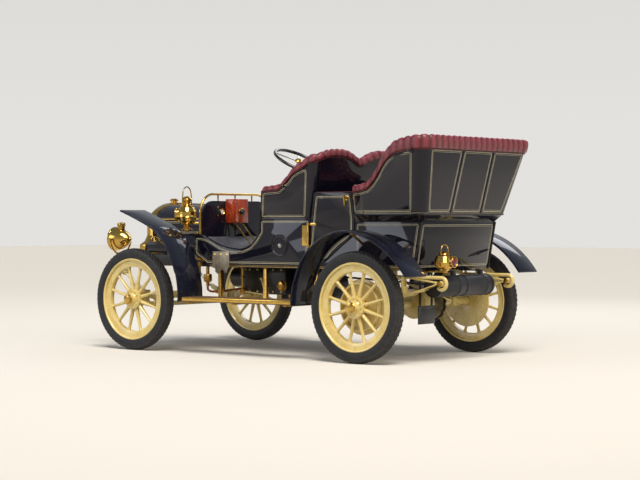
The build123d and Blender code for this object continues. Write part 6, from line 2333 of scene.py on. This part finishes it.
    def fittings(self) -> None:
        """Brass caps, pipes, a water pump and cream rods round the engine."""
        brass, cream, copper = Shape(), Shape(), Shape()
        brass.turned([(0.239, 0.0), (0.239, 0.042), (0.246, 0.042), (0.249, 0.036), (0.262, 0.034), (0.27, 0.03),
                      (0.274, 0.018), (0.274, 0.0)], (self.crank_x, 0.0, self.crank_z), (0, 1, 0), 40)
        for k in range(6):
            turn = math.pi / 3 * k
            brass.nut((self.crank_x + 0.038 * math.cos(turn), 0.246, self.crank_z + 0.038 * math.sin(turn)),
                      (0, 1, 0), 0.009, 0.004, 0.002)
        brass.turned(
            [(0.438, 0.0), (0.438, 0.024), (0.444, 0.026), (0.48, 0.024), (0.486, 0.013), (0.56, 0.012),
             (0.565, 0.017), (0.572, 0.017), (0.577, 0.012), (0.64, 0.012), (0.644, 0.018), (0.65, 0.018),
             (0.65, 0.0)], (0.34, 0.3, 0), (0, 0, 1), 28)
        brass.turned([(0.5, 0.0), (0.5, 0.013), (0.53, 0.013), (0.535, 0.03), (0.54, 0.032), (0.586, 0.032),
                      (0.59, 0.03), (0.594, 0.014), (0.648, 0.013), (0.65, 0.0)], (0.598, 0.418, 0), (0, 0, 1), 32)
        copper.tube(
            [(0.598, 0.418, 0.502), (0.596, 0.418, 0.474), (0.578, 0.418, 0.462), (0.494, 0.418, 0.461),
             (0.47, 0.4, 0.461), (0.44, 0.33, 0.47), (0.38, 0.252, 0.48), (0.372, 0.236, 0.48)], 0.0085, sides=14,
            smooth=True)
        copper.tube([(0.56, 0.092, 0.632), (0.572, 0.1, 0.652), (0.6, 0.16, 0.664), (0.62, 0.3, 0.664),
                     (0.632, 0.38, 0.664), (0.64, 0.4, 0.664)], 0.009, sides=14, smooth=True)
        brass.turned([(0.436, 0.0), (0.436, 0.014), (0.452, 0.014), (0.456, 0.008), (0.462, 0.008), (0.464, 0.017),
                      (0.47, 0.017), (0.47, 0.0)], (0.64, 0.0, 0.668), (0, 1, 0), 24)
        cream.rod((0.34, 0.3, 0.462), (0.11, 0.3, 0.44), 0.006, sides=12)
        cream.rod((0.11, 0.3, 0.44), (0.15, 0.3, 0.56), 0.006, sides=12)
        cream.rod((0.15, 0.242, 0.56), (0.15, 0.308, 0.56), 0.009, sides=16)
        brass.rod((0.11, 0.29, 0.44), (0.11, 0.31, 0.44), 0.011, sides=16, edge=0.001)
        for x in (0.0, 0.08, 0.16, 0.24, 0.32, 0.36):
            for z in (0.462, 0.628):
                for side in (-1, 1):
                    cream.nut((x, side * 0.2398, z), (0, side, 0), 0.015, 0.007, 0.003)
        brass.piece("engine_brass", CAST_BRASS)
        copper.piece("engine_pipes", DRAWN_COPPER)
        cream.piece("engine_rods", CREAM_VARNISH)

    def muffler(self) -> None:
        """The muffler's end bands, seam and hangers, with the cream pull rod beside it."""
        shape, cream = Shape(), Shape()
        for y, width in ((-0.266, 0.01), (-0.2, 0.014), (0.054, 0.008), (0.14, 0.014), (0.374, 0.01)):
            shape.turned([(y - width, 0.074), (y - width, 0.077), (y - width * 0.6, 0.0784), (y + width * 0.6, 0.0784),
                          (y + width, 0.077), (y + width, 0.074)], (self.muffler_x, 0.0, self.muffler_z), (0, 1, 0), 48)
        for y in (-0.2, 0.14):
            shape.box((-1.524, y - 0.01, 0.614), (-1.516, y + 0.01, 0.636), 0.001)
            shape.nut((-1.516, y, 0.626), (1, 0, 0), 0.012, 0.005, 0.003)
        cream.rod((-1.36, -0.06, 0.42), (-1.12, -0.06, 0.52), 0.006, sides=12)
        shape.piece("muffler_bands", STOVE_BLACK, Body.CHASSIS, Slot.MUFFLER)
        cream.piece("brake_pull_rod", CREAM_VARNISH)

    def straps(self) -> None:
        """Double straps from the frame to each front fender, and the fender's inner apron."""
        strap, apron = Shape(), Shape()
        for x in (0.862, 0.906):
            strap.tube([(x, 0.434, 0.7), (x, 0.452, 0.72), (x - 0.004, 0.545, 0.948 if x < 0.88 else 0.962),
                        (x - 0.004, 0.575, 0.968 if x < 0.88 else 0.986)], 0.006, sides=10)
            strap.nut((x, 0.436, 0.7), (0, 1, 0), 0.016, 0.007, 0.004)
        strap.rod((0.858, 0.5, 0.84), (0.904, 0.5, 0.84), 0.005, sides=10)
        outline = ((0.652, 0.79), (0.752, 0.906), (0.86, 0.97), (1.0, 1.026), (0.965, 0.955), (0.87, 0.872),
                   (0.775, 0.775), (0.712, 0.742))
        apron.plate([(x, self.fender_inner, z) for x, z in outline], Vector((0, 0.003, 0)), 0.0008)
        strap.mirror_too().piece("front_fender_straps", CREAM_VARNISH)
        apron.mirror_too().piece("front_fender_aprons", FENDER_ENAMEL)

    def build(self) -> None:
        """Makes all the fittings."""
        self.chain()
        self.flywheel()
        self.castings()
        self.fittings()
        self.muffler()
        self.straps()


def main() -> None:
    """Builds the car round its frame, piece by piece."""
    logging.basicConfig(level=logging.INFO, format="%(name)s %(message)s")
    frame = Frame()
    Studio().build()
    CoachPanels(frame).build()
    RollingGear().build()
    Seats().build()
    CoachLines(frame).build()
    Mouldings().build()
    Lamps().build()
    Springs().build()
    DriverControls().build()
    BodyHardware().build(frame)
    Machinery().build()
    low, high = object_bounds()
    {"cad": [list(frame.low), list(frame.high)], "visual": [list(low), list(high)]}


if __name__ == "__main__":
    main()
